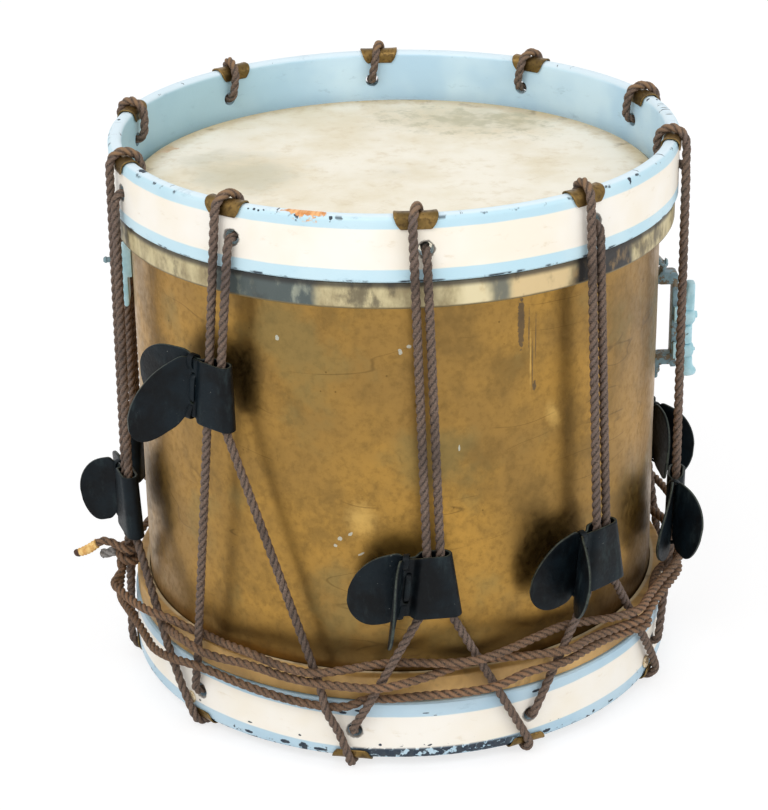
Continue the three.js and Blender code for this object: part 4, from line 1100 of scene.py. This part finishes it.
def lumps(size, height, shift=0.0):
    """Slow unevenness of hand-made pieces, as a function of angle, radius and height."""
    def sway(angle, radius, level):
        return height * noise.noise(at(radius, angle, level) / size + Vector((shift, shift, shift)))
    return sway


def facing(name, profile, height, degrees, sides, sharp=40):
    """Turned about a line out from the drum's axis, from (radius, distance from the axis)."""
    rings = [[outwards(r * math.cos(a), out, height + r * math.sin(a), degrees)
              for a in turns(sides)] for r, out in profile]
    return surface(name, rings, caps=True, sharp=sharp)


def bored(radius, near, far, height, degrees, sides=24, flare=0.0):
    """A round cutter that points out from the drum's axis."""
    profile = [(radius, near), (radius, far - flare), (radius + flare, far)]
    return facing("cutter", profile, height, degrees, sides)


def make_shell():
    low = SNARE_EDGE + HEAD_DEPTH + SKIN + GAP
    high = BATTER_EDGE - HEAD_DEPTH - SKIN - GAP
    start, end = low + SHELL_BEVEL, high - SHELL_BEVEL
    side = [(SHELL_RADIUS, mix(start, end, i / SHELL_ROWS)) for i in range(SHELL_ROWS + 1)]
    lip = SHELL_WALL * math.tan(math.pi / 8)
    inner, mouth, ease = SHELL_RADIUS - SHELL_WALL, SHELL_RADIUS - SHELL_BEVEL, SHELL_BEVEL * 0.3
    outline = [
        (mouth, low), (SHELL_RADIUS - ease, low + ease), *side,
        (SHELL_RADIUS - ease, high - ease), (mouth, high), (mouth - lip, high - SHELL_WALL),
        (inner, end - lip), (inner, start + lip), (mouth - lip, low + SHELL_WALL),
    ]
    broad = lumps(0.11, 0.0011)
    tight = lumps(0.032, 0.00022, 4)

    def dents(angle, radius, height):
        if not start <= height <= end or radius < SHELL_RADIUS - SHELL_WALL / 2:
            return 0
        ends = min(1, (height - start) / 0.03, (end - height) / 0.03)
        return ends * (min(0, broad(angle, radius, height)) + min(0, tight(angle, radius, height)))

    holes = [bored(SCREW_HOLE, inner - 0.004, SEAT + 0.003, level, angle, 16)
             for level, angle in SHELL_SCREWS]
    shell = less(lathe("shell", outline, dents), holes)
    shown("shell", shell, BRASS, "drum", "brass_shell")


def make_head(name, level, node):
    """Skin over the bearing edge, lapped round its flesh hoop."""
    top = HEAD_DEPTH
    under = top + SKIN
    edge = SHELL_RADIUS - SHELL_BEVEL
    seat, outer = SHELL_RADIUS + GAP, SHELL_RADIUS + GAP + SKIN
    lap_top, lap_low = HOOP_HEIGHT + GAP, HOOP_HEIGHT + GAP + LAP_HEIGHT
    slope = math.tan(math.pi / 8)
    turn = under + GAP + SHELL_BEVEL
    line = rounded_outline([
        (edge - 0.004, top), (edge + (GAP + SKIN) * slope, top),
        (outer, turn - (GAP + SKIN) * slope), (outer, lap_top), (LAP_RADIUS, lap_top),
        (LAP_RADIUS, lap_low), (SHELL_RADIUS + 0.003, lap_low),
    ], 0.0022, 4)
    back = [
        (seat + GAP, lap_low), (seat + GAP, lap_low - SKIN), (LAP_RADIUS - SKIN, lap_low - SKIN),
        (LAP_RADIUS - SKIN, lap_top + SKIN), (seat, lap_top + SKIN), (seat, turn - GAP * slope),
        (edge + GAP * slope, under),
    ]
    upper = [(edge * share, top) for share in HEAD_RINGS]
    lower = [(edge * share, under) for share in HEAD_RINGS_UNDER]
    lumpy = lumps(0.020, 0.0009, 7)
    wrinkle = lumps(0.007, 0.00035, 2)

    def sway(angle, radius, height):
        away = abs(height - level(lap_top + LAP_HEIGHT / 2))
        if radius < LAP_RADIUS - SKIN / 2 or away > LAP_HEIGHT / 2 - 0.0012:
            return 0
        return min(0, lumpy(angle, radius, height)) + min(0, wrinkle(angle, radius, height))

    outline = [(r, level(depth)) for r, depth in (*upper, *line, *back, *lower)]
    shown(name, lathe(name, outline, sway, closed=False), SKIN_LOOK, "drum", node)


def make_flesh_hoop(name, level, node):
    top = HOOP_HEIGHT + GAP + SKIN + GAP
    low = HOOP_HEIGHT + GAP + LAP_HEIGHT - SKIN - GAP
    inner, outer = SHELL_RADIUS + 2 * GAP, LAP_RADIUS - SKIN - GAP
    corners = [(inner, level(top)), (outer, level(top)), (outer, level(low)), (inner, level(low))]
    mesh = lathe(name, rounded_outline([*corners, *corners[:2]], 0.002)[1:-1])
    shown(name, mesh, ASH, "drum", node)


# Counterhoops and their rope guards

def edge_arcs(away, steps):
    """(radius, depth) round a counterhoop's two rounded corners, off its surface."""
    outer, inner, reach = HOOP_OUTER + away, HOOP_INNER - away, HOOP_ROUND + away
    arc = [math.pi / 2 * i / steps for i in range(steps + 1)]
    return [*[(outer - reach * (1 - math.cos(a)), HOOP_ROUND - reach * math.sin(a)) for a in arc],
            *[(inner + reach * (1 - math.sin(a)), HOOP_ROUND - reach * math.cos(a)) for a in arc]]


def make_counterhoop(name, level, tools, node):
    inner, outer, tall = HOOP_INNER, HOOP_OUTER, HOOP_HEIGHT
    outline = [(outer, tall - 0.0012), (outer, 0.030), (outer, 0.016), *edge_arcs(0, 8),
               (inner, 0.016), (inner, 0.030), (inner, tall - 0.0010), (inner + 0.0010, tall),
               (outer - 0.0012, tall)]
    worn = lumps(0.05, 0.0003, 3)

    def sway(angle, radius, height):
        return worn(angle, radius, height) - 0.0001

    mesh = lathe(name, [(r, level(depth)) for r, depth in outline], sway)
    shown(name, less(mesh, tools), PAINT, "drum", node)


def make_guard(name, level, degrees, leg, node):
    """A saddle bent over a hoop's edge, its sides curled up and its legs drawn in."""
    away = GAP + GUARD_THICKNESS / 2
    outer, inner, half = HOOP_OUTER + away, HOOP_INNER - away, (leg + HOOP_ROUND) / 2
    profile = [(outer, leg), (outer, half), *edge_arcs(away, 6), (inner, half), (inner, leg)]
    rows = []
    for i, (r, depth) in enumerate(profile):
        taper = mix(1, GUARD_LEG_WIDTH / GUARD_WIDTH, max(0, depth) / leg)
        end = min(1, i / 1.5, (len(profile) - 1 - i) / 1.5)
        width = GUARD_WIDTH / 2 * taper * (0.86 + 0.14 * end)
        out = 1 if r > HOOP_INNER + HOOP_THICKNESS / 2 else -1
        row = []
        for s in GUARD_ACROSS:
            curl = GUARD_CURL * max(0, abs(s) - 0.55) ** 2 * 4
            side = curl * out * (1 if depth > HOOP_ROUND * 0.3 else 0.5)
            lift = curl if depth < HOOP_ROUND else 0
            angle = degrees + math.degrees(s * width / HOOP_OUTER)
            row.append(at(r + side, angle, level(depth - lift)))
        rows.append(row)
    solid = thickened(surface(name, rows, around=False), GUARD_THICKNESS)
    shown(name, solid, GUARD, "drum", node)


# Ears and laces

def wing_way(side, degrees):
    a = math.radians(degrees)
    return Vector((-math.cos(a), side * math.sin(a)))


def wing_line(root, side, flare, length):
    """From the laced strip out to a wing's tip, as (point, share of its length, notch)."""
    corner = Vector((root, side * LEAF_OFFSET))
    bend = 2 * EAR_BEND * math.sin(math.radians(flare / 4))
    point = corner + wing_way(side, flare / 2) * bend
    middle = corner + Vector((-bend * 0.45, 0))
    line = [(corner.lerp(middle, t).lerp(middle.lerp(point, t), t), 0, 1)
            for t in (0, 1 / 3, 2 / 3)]
    before = 0
    for i in range(WING_STEPS + 1):
        share = math.sin(math.pi / 2 * i / WING_STEPS)
        way = wing_way(side, flare + WING_CURL * (share - 0.5))
        point = point + way * (share - before) * length
        before = share
        line.append((point, share, 1))
    return line


def ear_line(station, ropes):
    """The middle of the leather's thickness, from the front wing's tip round both ropes to
    the rear wing's tip, as (point, share along a wing, share of the laced strip's notch)."""
    (left, left_out), (right, right_out) = ropes
    out = (left_out + right_out) / 2 * EAR_SHIFT_SHARE
    root = left - EAR_SHOULDER - EAR_SWELL - EAR_LACING
    front = wing_line(root, 1, station.flare, station.front)
    rear = wing_line(root, -1, REAR_FLARE, station.rear)
    strip = EAR_LACING / (EAR_LACING + EAR_SWELL)
    half = []  # the front side, from the strip to the fold
    for i in range(1, 9):
        rise = eased((i / 8 - strip) / (1 - strip))
        u = mix(root, left - EAR_SHOULDER, i / 8)
        half.append((u, mix(LEAF_OFFSET, SLEEVE_REACH, rise), 1 - rise))
    half += [(mix(left - EAR_SHOULDER, right + EAR_SLACK, i / 3), SLEEVE_REACH, 0) for i in (1, 2)]
    fold = [(right + EAR_SLACK + SLEEVE_REACH * math.sin(a), SLEEVE_REACH * math.cos(a), 0)
            for a in (math.pi * i / 12 for i in range(13))]
    sleeve = [*half, *fold, *[(u, -w, notch) for u, w, notch in reversed(half)]]
    line = [*reversed(front), *[(Vector((u, w)), 0, notch) for u, w, notch in sleeve], *rear]
    return [(p + Vector((0, out)), share, notch) for p, share, notch in line]


def wing_height(share, notch):
    """How tall the leather is there, as a share of the ear's height."""
    if share <= WING_WIDEST:
        return mix(mix(1, NOTCH_HEIGHT, notch), WING_HEIGHT, eased(share / NOTCH_SHARE))
    return WING_HEIGHT * math.sqrt(1 - ((share - WING_WIDEST) / WING_ROUND) ** 2)


def on_strip(place, u, v, w):
    """A point off the middle of the laced strip, at a height."""
    spots = []
    for (left, left_out), (_, right_out) in (place.ropes_below, place.ropes_above):
        out = (left_out + right_out) / 2 * EAR_SHIFT_SHARE
        spots.append(Vector((left - EAR_SHOULDER - EAR_SWELL - EAR_LACING / 2, out)))
    middle = spots[0].lerp(spots[1], v / EAR_HEIGHT + 0.5)
    return place.point(middle.x + u, v, middle.y + w)


def make_ear(number, place):
    name = f"ear_{number:02d}"
    low, high = [ear_line(place.station, ropes) for ropes in (place.ropes_below, place.ropes_above)]
    chance = random.Random(number)
    columns = len(low)
    rows = []
    for k in range(EAR_ROWS + 1):
        edge = -math.cos(math.pi * k / EAR_ROWS)
        row = []
        for i, ((p, share, notch), (q, _, _)) in enumerate(zip(low, high)):
            tall = wing_height(share, notch)
            drop = place.station.drops[0 if i < columns / 2 else 1]
            v = EAR_HEIGHT / 2 * tall * edge - drop * share
            flat = p.lerp(q, v / EAR_HEIGHT + 0.5)
            droop = WING_DROOP * share * share * (edge * tall / WING_HEIGHT - 0.3)
            row.append(place.point(flat.x, v, flat.y + droop))
        rows.append(row)
    sheet = surface(name, rows, around=False)
    count = np.arange(len(rows) * columns)
    shares = [count % columns / (columns - 1), count // columns / EAR_ROWS]
    mapped(sheet, "strip", np.stack(shares, -1))
    holes = []
    for rise in (LACE_HOLE_RISE, -LACE_HOLE_RISE):
        ends = [on_strip(place, chance.uniform(-0.0003, 0.0003), rise, w) for w in (-0.008, 0.008)]
        holes.append(round_bar(ends, LACE_HOLE / 2, 14))
    solid = less(thickened(sheet, EAR_LEATHER), holes, 60)
    shown(name, solid, LEATHER, name, f"tug_{name}")


def make_lace(number, place):
    """The strip that sews the ear shut: over the top edge, through both holes and round
    the lower edge."""
    off = LEAF_OFFSET + EAR_LEATHER / 2 + GAP + LACE_THICKNESS / 2
    past = EAR_HEIGHT / 2 * NOTCH_HEIGHT + GAP + LACE_THICKNESS
    rise, lean = LACE_HOLE_RISE, LACE_LEAN
    stops = [
        (-lean * 0.4, rise + LACE_TUCK * 0.9, off * 0.3), (-lean, rise + LACE_TUCK * 1.6, off),
        (-lean, past - 0.001, off), (-lean, past + 0.0006, 0), (-lean * 0.6, past - 0.001, -off),
        (0, rise, -off), (0, rise, off * 0.4), (0, rise - 0.0022, off),
        (0, -rise + 0.0022, off), (0, -rise, off * 0.4), (0, -rise, -off),
        (-lean * 0.6, 0.001 - past, -off), (-lean, -past - 0.0006, 0), (-lean, 0.001 - past, off),
        (-lean * 0.4, -rise - LACE_TUCK * 0.9, off * 0.6),
    ]
    line = rounded([on_strip(place, u, v, w) for u, v, w in stops], 0.0016)
    name = f"lace_{number:02d}"
    strip = ribbon(name, line, place.right, LACE_WIDTH, LACE_THICKNESS)
    mapped(strip, "strip", np.full((len(strip.vertices), 2), 0.5))
    shown(name, strip, LEATHER, f"ear_{number:02d}", f"tug_{name}")


# Ropes

def make_tension_rope():
    route = []
    for n in range(STATIONS):
        route += places[(KNOT_STATION + n) % STATIONS].lacing()
    mesh, _ = laid_rope("tension_rope", rounded(route, 0.0035, 3), lowest=0.0)
    shown("tension_rope", mesh, ROPE, "drum", "tension_rope")


def make_knot():
    """The two ends are tied inside the lower hoop: a small tight knot."""
    angle = places[KNOT_STATION].hole
    high = BOTTOM_HOLE_HEIGHT - ROPE_BEND - GAP
    low = snare_level(HOOP_ROUND) + GAP
    tall = (high - low - ROPE_RADIUS * 1.4) / 2
    line = []
    for t in (*turns(KNOT_STEPS), 2 * math.pi):
        across = (math.sin(t) + 2 * math.sin(2 * t)) / 3 * KNOT_WIDTH
        rise = (math.cos(t) - 2 * math.cos(2 * t)) / 3 * tall
        out = INSIDE_RADIUS - GAP + math.sin(3 * t) * KNOT_DEPTH
        line.append(outwards(across, out, (high + low) / 2 + rise, angle))
    mesh, _ = laid_rope("knot", line, ROPE_RADIUS * 0.62, ROPE_LAY * 0.6)
    shown("joining_knot", mesh, ROPE, "drum", "rope_joining_knot")


def hitch_frame():
    """Start, right, out and down of the wound rope's hitch on its strand."""
    place = places[HITCH_STATION]
    down = (place.left_crossing - place.left_pinch).normalized()
    start = place.left_pinch + down * ((place.left_pinch.z - HITCH_HEIGHT) / -down.z)
    out = Vector((start.x, start.y, 0))
    out = (out - down * out.dot(down)).normalized()
    return start, -down.cross(out), out, down


def make_wound_rope():
    """From its whipped end, hitched twice round a strand and then round the drum."""
    start, right, out, down = hitch_frame()

    def near(u, w, v):
        return start + right * u + out * w + down * v

    reach = 2 * ROPE_RADIUS + HITCH_PLAY
    coil = []
    for turned in range(0, 360 * HITCH_TURNS, HITCH_STEP):
        a = math.radians(HITCH_START + turned)
        coil.append(near(reach * math.sin(a), reach * math.cos(a), HITCH_PITCH * turned / 360))
    stops = [*[near(*p) for p in WHIPPED_END], *coil, *[at(r, a, z) for a, z, r in WOUND_ROPE]]
    line = smooth_curve(stops)
    split = CURVE_STEPS * (len(WHIPPED_END) + len(coil) - 1)
    hitch, _ = laid_rope("hitch", line[:split + 1])
    hitch = shown("hitch", hitch, WOUND, "drum", "drag_rope")
    cord, centre = laid_rope("wound_rope", line[split:], phase=1.0)
    cord = shown("wound_rope", cord, WOUND, "drum", "drag_rope")
    tip = (line[0] - line[1]).normalized()
    whipping = make_whipping(line[0] + tip * GAP, tip)
    stub = make_stub([near(*p) for p in STUB])


def make_whipping(start, way):
    """Tape wound round the rope's end, tapering a little, with a dark tip."""
    side = way.orthogonal().normalized()
    up = way.cross(side)
    rows, sides = 60, 20
    rings, uvs = [], []
    for i in range(rows + 1):
        share = i / rows
        wrap = 0.00022 * math.sin(2 * math.pi * share * 7)
        end = min(1, (rows - i) / 3 + 0.55, i / 3 + 0.7)
        radius = (WHIPPING_RADIUS * (1 - 0.16 * share) + wrap) * end
        centre = start + way * WHIPPING_LENGTH * share + side * 0.0012 * math.sin(math.pi * share)
        rings.append([centre + (side * math.cos(a) + up * math.sin(a))
                      * radius * (1 + 0.06 * math.sin(2 * a + 5 * share)) for a in turns(sides)])
        uvs += [(k / sides, share) for k in range(sides)]
    mesh = surface("whipping", rings, caps=True, sharp=70)
    mapped(mesh, "lay", uvs)
    return shown("whipping", mesh, TAPE, "drum", "drag_rope_whipping")


def make_stub(line):
    """A frayed grey end of rope that sticks out below the hitch's first turn."""
    mesh, _ = laid_rope("stub", smooth_curve(line), ROPE_RADIUS * 1.2)
    return shown("stub", mesh, FRAYED, "drum", "drag_rope")


# Screw heads and hoop discs

def slotted(head, size, out, height, degrees, lean, sharp):
    """The head with a slot cut across its face."""
    work = bmesh.new()
    bmesh.ops.create_cube(work, size=1)
    bmesh.ops.scale(work, vec=size, verts=work.verts)
    slot = bpy.data.meshes.new("slot")
    work.to_mesh(slot)
    work.free()
    slot.transform(Matrix.Rotation(math.radians(degrees), 4, "Z")
                   @ Matrix.Translation((0, -out, height)) @ Matrix.Rotation(lean, 4, "Y"))
    return less(head, [slot], sharp)


def make_disc(name, degrees, node):
    """A round slotted screw head."""
    face, height = HOOP_OUTER + GAP, SNARE_EDGE + DISC_HEIGHT
    profile = [(0.01, 0), (0.72, 0), (0.88, 0.12), (0.97, 0.36), (1, 0.62), (1, 1), (0.42, 1),
               (0.42, 5.6), (0.01, 5.8)]
    profile = [(r * DISC_RADIUS, face + DISC_THICKNESS * (1 - depth)) for r, depth in profile]
    head = facing(name, profile, height, degrees, 32, 35)
    head = slotted(head, (0.0082, 0.0016, 0.0009), face + DISC_THICKNESS, height, degrees,
                   math.radians(20), 35)
    shown(name, head, DISC, "drum", node)


def make_screw(name, height, seat, reach, head, degrees, node):
    """A round-headed slotted screw, driven in towards the drum's axis."""
    radius, thick = head
    profile = [(r * radius, seat + thick * share) for r, share in
               ((0.05, 1), (0.5, 0.94), (0.8, 0.66), (0.97, 0.3), (1, 0))]
    profile += [(SCREW_RADIUS, seat), (SCREW_RADIUS, reach + 0.001), (SCREW_RADIUS * 0.6, reach)]
    level = SNARE_EDGE + height
    body = facing(name, profile, level, degrees, 24, 50)
    body = slotted(body, (radius * 2.2, 0.0012, 0.001), seat + thick, level, degrees, 0.5, 50)
    shown(name, body, WORN_STEEL, "drum", node)


# Strainer and butt. In a fitting's own frame x goes across, y out from the drum's axis and
# z up, with heights above the snare hoop's edge.

def fitted(x, y, z, degrees=STRAINER_ANGLE):
    return outwards(x, y, SNARE_EDGE + z, degrees)


def strap(name, outline, half_width, soft, degrees, bores):
    """A plate of one width whose side view is the outline of (out, height), bored through."""
    rings = [[fitted(side * half_width, y, z, degrees) for y, z in outline] for side in (-1, 1)]
    plate = bevelled(surface(name, rings, caps=True, sharp=35), soft)
    return less(plate, [bored(SCREW_HOLE, SEAT - 0.002, SEAT + reach, SNARE_EDGE + z, degrees, 16)
                        for z, reach in bores], 35)


def column(name, square, levels):
    """Stacked rounded sections, each given as (height, half width, near, far)."""
    rings = []
    for z, half, near, far in levels:
        ring = []
        for a in turns(28):
            x = squared(math.cos(a), square) * half
            y = squared(math.sin(a), square) * (far - near) / 2
            ring.append(fitted(x, (near + far) / 2 + y, z))
        rings.append(ring)
    return surface(name, rings, caps=True, sharp=50)


def slide_parts():
    """Lever, knuckle with its button, barrel and bulge on a core, and two claws round the rail."""
    near, far = RAIL_FAR + GAP, SLIDE_FAR
    parts = [column(name, square, levels) for name, square, levels in (
        ("lever", 0.55, [
            (0.2486, 0.0042, near, far - 0.0004), (0.2500, 0.0050, near + 0.0004, far),
            (0.2560, 0.0052, near + 0.0050, far), (0.2680, 0.0052, near + 0.0062, far),
            (0.2698, 0.0046, near + 0.0066, far - 0.0003),
            (0.2705, 0.0030, near + 0.0074, far - 0.0014),
        ]),
        ("knuckle", 0.7, [
            (0.2384, 0.0052, near, far - 0.0016), (0.2392, 0.0070, near, far - 0.0004),
            (0.2416, 0.0080, near, far + 0.0009), (0.2446, 0.0082, near, far + 0.0012),
            (0.2474, 0.0076, near, far + 0.0006), (0.2490, 0.0058, near, far - 0.0008),
        ]),
        ("barrel", 0.85, [
            (0.2232, 0.0050, near, far - 0.0014), (0.2238, 0.0060, near, far - 0.0009),
            (0.2300, 0.0062, near, far - 0.0009), (0.2368, 0.0060, near, far - 0.0009),
            (0.2375, 0.0050, near, far - 0.0014),
        ]),
        ("bulge", 0.7, [
            (0.2128, 0.0056, near, far - 0.0009), (0.2136, 0.0068, near, far - 0.0003),
            (0.2160, 0.0076, near, far + 0.0004), (0.2188, 0.0078, near, far + 0.0008),
            (0.2214, 0.0070, near, far + 0.0002), (0.2226, 0.0056, near, far - 0.0008),
        ]),
        ("core", 0.55, [(z, 0.0036, near + 0.0005, far - 0.0026) for z in (0.2134, 0.2490)]),
    )]
    claw = [(0.0063, near), (0.0063, RAIL_FAR - 0.0028), (0.0098, RAIL_FAR - 0.0028),
            (0.0098, near + 0.0026)]
    claw = [*[(-x, y) for x, y in reversed(claw)], *claw]
    for levels in ((0.2140, 0.2260), (0.2420, 0.2540)):
        rings = [[fitted(x, y, z) for x, y in claw] for z in levels]
        parts.append(bevelled(surface("claw", rings, caps=True, sharp=35), 0.0004))
    button = round_bar([fitted(0, far + y, 0.2446) for y in (0.0002, 0.0024)], 0.0026, 20)
    parts.append(carved(button, [("BEVEL", {"width": 0.0006, "segments": 3})], 50))
    parts.append(round_bar([fitted(0, far + y, 0.2175) for y in (0, 0.0016)], 0.0013, 12))
    return parts


def make_thumb_screw():
    """A bell with a knurled foot, and the stem above it."""
    bell = [
        (0.0012, 0.1983), (0.0055, 0.1983), (0.0071, 0.1990), (0.0076, 0.2003), (0.0074, 0.2018),
        (0.0060, 0.2034), (0.0050, 0.2052), (0.0046, 0.2080), (0.0045, 0.2112), (0.0041, 0.2121),
        (THUMB_STEM, 0.2122), (THUMB_STEM, 0.2236), (THUMB_STEM * 0.5, 0.2241),
    ]
    rings = []
    for r, z in bell:
        cut = 0.0003 if r > THUMB_RADIUS * 0.9 else 0
        reaches = [(r - i % 2 * cut, a) for i, a in enumerate(turns(36))]
        rings.append([fitted(reach * math.cos(a), THUMB_AXIS + reach * math.sin(a), z)
                      for reach, a in reaches])
    mesh = surface("thumb_screw", rings, caps=True, sharp=50)
    shown("thumb_screw", mesh, PALE_BLUE, "thumb_screw", "strainer_thumb_screw")


def make_strainer():
    near, far, low = RAIL_NEAR - SEAT, RAIL_FAR - SEAT, RAIL_LOW
    outline = [
        (0, 0.290), (0.0028, 0.2895), (0.0072, 0.2848), (0.0066, 0.2820), (0.0052, 0.2795),
        (far - 0.003, 0.2795), (far - 0.0008, 0.2787), (far, 0.2765), (far, low), (near, low),
        (near, 0.208), (0.006, 0.208), (0.0036, 0.2068), (0.003, 0.204), (0.003, 0.1985),
        (0.0022, 0.1975), (0, 0.1975), (0, 0.2120), (0.0012, 0.2145), (0.004, 0.2155),
        (near, 0.2155), (near, 0.2705), (0.0034, 0.2705), (0.0008, 0.2712), (0, 0.2725),
        (0, 0.276), (0.004, 0.2815), (0.0038, 0.2846), (0, 0.2875),
    ]
    mesh = strap("strainer_frame", [(SEAT + y, z) for y, z in outline], RAIL_WIDTH / 2, 0.0006,
                 STRAINER_ANGLE, [(z, 0.0075) for z in FOOT_SCREWS])
    shown("strainer_frame", mesh, FRAME_LOOK, "drum", "strainer_frame")
    slide = joined("strainer_slide", slide_parts(), 45)
    shown("strainer_slide", slide, PALE_BLUE, "slide_block",
          "strainer_slide_block")
    make_thumb_screw()
    for name, z, foot in zip(("upper", "lower"), FOOT_SCREWS, (0.0066, 0.003)):
        make_screw(f"foot_screw_{name}", z, SEAT + foot + GAP, SCREW_TIP, (0.0034, 0.002),
                   STRAINER_ANGLE, f"strainer_foot_screw_{name}")


def make_butt():
    angle = STRAINER_ANGLE + 180
    outline = [
        (0, 0.2895), (0.0032, 0.2895), (0.0032, 0.2690), (0.0042, 0.2673), (0.0060, 0.2671),
        (0.0071, 0.2690), (0.0072, 0.2960), (0.0087, 0.2985), (0.0087, 0.3085), (0.0076, 0.3101),
        (0.0058, 0.3105), (0, 0.3105),
    ]
    mesh = strap("butt", [(SEAT + y, z) for y, z in outline], 0.0096, 0.0008, angle,
                 [(BUTT_SCREW, 0.012)])
    shown("butt", mesh, PALE_BLUE, "drum", "butt_bracket")
    make_screw("butt_screw", BUTT_SCREW, SHELL_RADIUS + 0.0186, SCREW_TIP,
               (SCREW_RADIUS * 1.25, 0.0024), angle, "butt_screw")


# Finishes and pieces

BRASS = brass_finish()
SKIN_LOOK = skin_finish()
ASH = ash_finish()
PAINT = hoop_finish()
GUARD = guard_finish()
ROPE = rope_finish("tension_hemp", (36, 27, 22), (104, 84, 70), (152, 130, 114), rims=True)
WOUND = rope_finish("wound_hemp", (36, 26, 20), (110, 82, 60), (162, 130, 98), warm=0.4)
FRAYED = rope_finish("frayed_hemp", (92, 88, 84), (150, 146, 142), (186, 182, 178))
TAPE = whipping_finish()
LEATHER = leather_finish()
DISC = disc_finish()
PALE_BLUE = fitting_finish("pale_blue_paint", (186, 226, 236), (164, 211, 222), (92, 102, 96), 0.64)
FRAME_LOOK = fitting_finish("worn_frame", (120, 150, 160), (96, 122, 132), (112, 92, 62), 0.5)
WORN_STEEL = fitting_finish("worn_steel", (128, 158, 166), (104, 126, 132), (120, 104, 78), 0.54)

make_shell()
make_head("batter_skin", batter_level, "batter_head")
make_head("snare_skin", snare_level, "snare_head")
make_flesh_hoop("batter_flesh_ring", batter_level, "batter_flesh_hoop")
make_flesh_hoop("snare_flesh_ring", snare_level, "snare_flesh_hoop")
through = (ROPE_HOLE_RADIUS, HOOP_INNER - 0.002, HOOP_OUTER + 0.0004)
top_tools = [bored(*through, TOP_HOLE_HEIGHT, place.top_hole, flare=0.0012) for place in places]
low_tools = [bored(*through, BOTTOM_HOLE_HEIGHT, place.hole, flare=0.0012) for place in places]
low_tools += [bored(DISC_HOLE, HOOP_OUTER - DISC_HOLE_DEPTH, HOOP_OUTER + 0.001,
                    SNARE_EDGE + DISC_HEIGHT, angle) for angle in DISC_ANGLES.values()]
make_counterhoop("batter_hoop", batter_level, top_tools, "batter_counterhoop")
make_counterhoop("snare_hoop", snare_level, low_tools, "snare_counterhoop")
for side, angle in DISC_ANGLES.items():
    make_disc(f"disc_{side}", angle, f"hoop_disc_{side}")
for number, place in enumerate(places, 1):
    top = mix(place.angle, place.top_hole, TOP_SHARES[2])
    low = mix(place.hole + RIM_LEAD, place.hole, TOP_SHARES[2])
    make_guard(f"top_guard_{number:02d}", batter_level, top, GUARD_LEG,
               f"batter_rope_guard_{number:02d}")
    make_guard(f"low_guard_{number:02d}", snare_level, low, SNARE_GUARD_LEG,
               f"snare_rope_guard_{number:02d}")
    make_ear(number, place)
    make_lace(number, place)
make_tension_rope()
make_knot()
make_wound_rope()
make_strainer()
make_butt()


# Floor, light and camera

def make_floor():
    """Pale floor that keeps the drum's faint shadow. What the camera or a reflection sees of
    it is lifted to the background's white."""
    mesh = bpy.data.meshes.new("floor")
    half = FLOOR_SIZE / 2
    mesh.from_pydata([(x * half, y * half, 0) for x, y in ((-1, -1), (1, -1), (1, 1), (-1, 1))],
                     [], [(0, 1, 2, 3)])
    floor = placed("floor", mesh)
    f = Finish("pale_floor")
    seen = f.seen()
    f.tone = f.mix(seen, (252, 252, 253), (158, 158, 159))
    mesh.materials.append(f.done(0.9, Emission_Color=(1, 1, 1, 1),
                                 Emission_Strength=f.both(seen, FLOOR_LIFT)))
    floor.location.z = -FLOOR_DROP


def make_world():
    """White to the camera and in reflections, a little softer as light."""
    world = bpy.data.worlds.new("white_room")
    bpy.context.scene.world = world
    room = Nodes(world)
    soft, white = [room.node("ShaderNodeBackground", {"Color": (1, 1, 1, 1), "Strength": strength})
                   .outputs[0] for strength in (ROOM_LIGHT, 1)]
    either = room.node("ShaderNodeMixShader", {0: room.seen(), 1: soft, 2: white})
    room.node("ShaderNodeOutputWorld", {"Surface": either.outputs[0]})


def make_lamp(name, place, size, power):
    data = bpy.data.lights.new(name, "AREA")
    data.shape = "RECTANGLE"
    data.size, data.size_y = size
    data.energy = power
    lamp = placed(name, data)
    lamp.location = place
    lamp.rotation_euler = (LAMP_TARGET - Vector(place)).to_track_quat("-Z", "Y").to_euler()


def make_camera():
    e, roll = math.radians(CAMERA_ELEVATION), math.radians(CAMERA_ROLL)
    back = Vector((0, -math.cos(e), math.sin(e)))
    right, up = Vector((1, 0, 0)), Vector((0, math.sin(e), math.cos(e)))
    across = right * math.cos(roll) + up * math.sin(roll)
    upright = up * math.cos(roll) - right * math.sin(roll)
    data = bpy.data.cameras.new("camera")
    data.lens = CAMERA_LENS
    data.sensor_width = CAMERA_SENSOR
    camera = placed("camera", data)
    turn = Matrix((across, upright, back)).transposed().to_4x4()
    camera.matrix_world = Matrix.Translation(CAMERA_TARGET + back * CAMERA_DISTANCE) @ turn
    bpy.context.scene.camera = camera


make_floor()
make_world()
make_lamp("key", (-0.9, -1.6, 2.2), (1.8, 1.2), 22)
make_lamp("fill", (1.6, -1.2, 1.4), (1.2, 1.2), 8)
make_camera()
bpy.context.scene.view_settings.view_transform = "Standard"
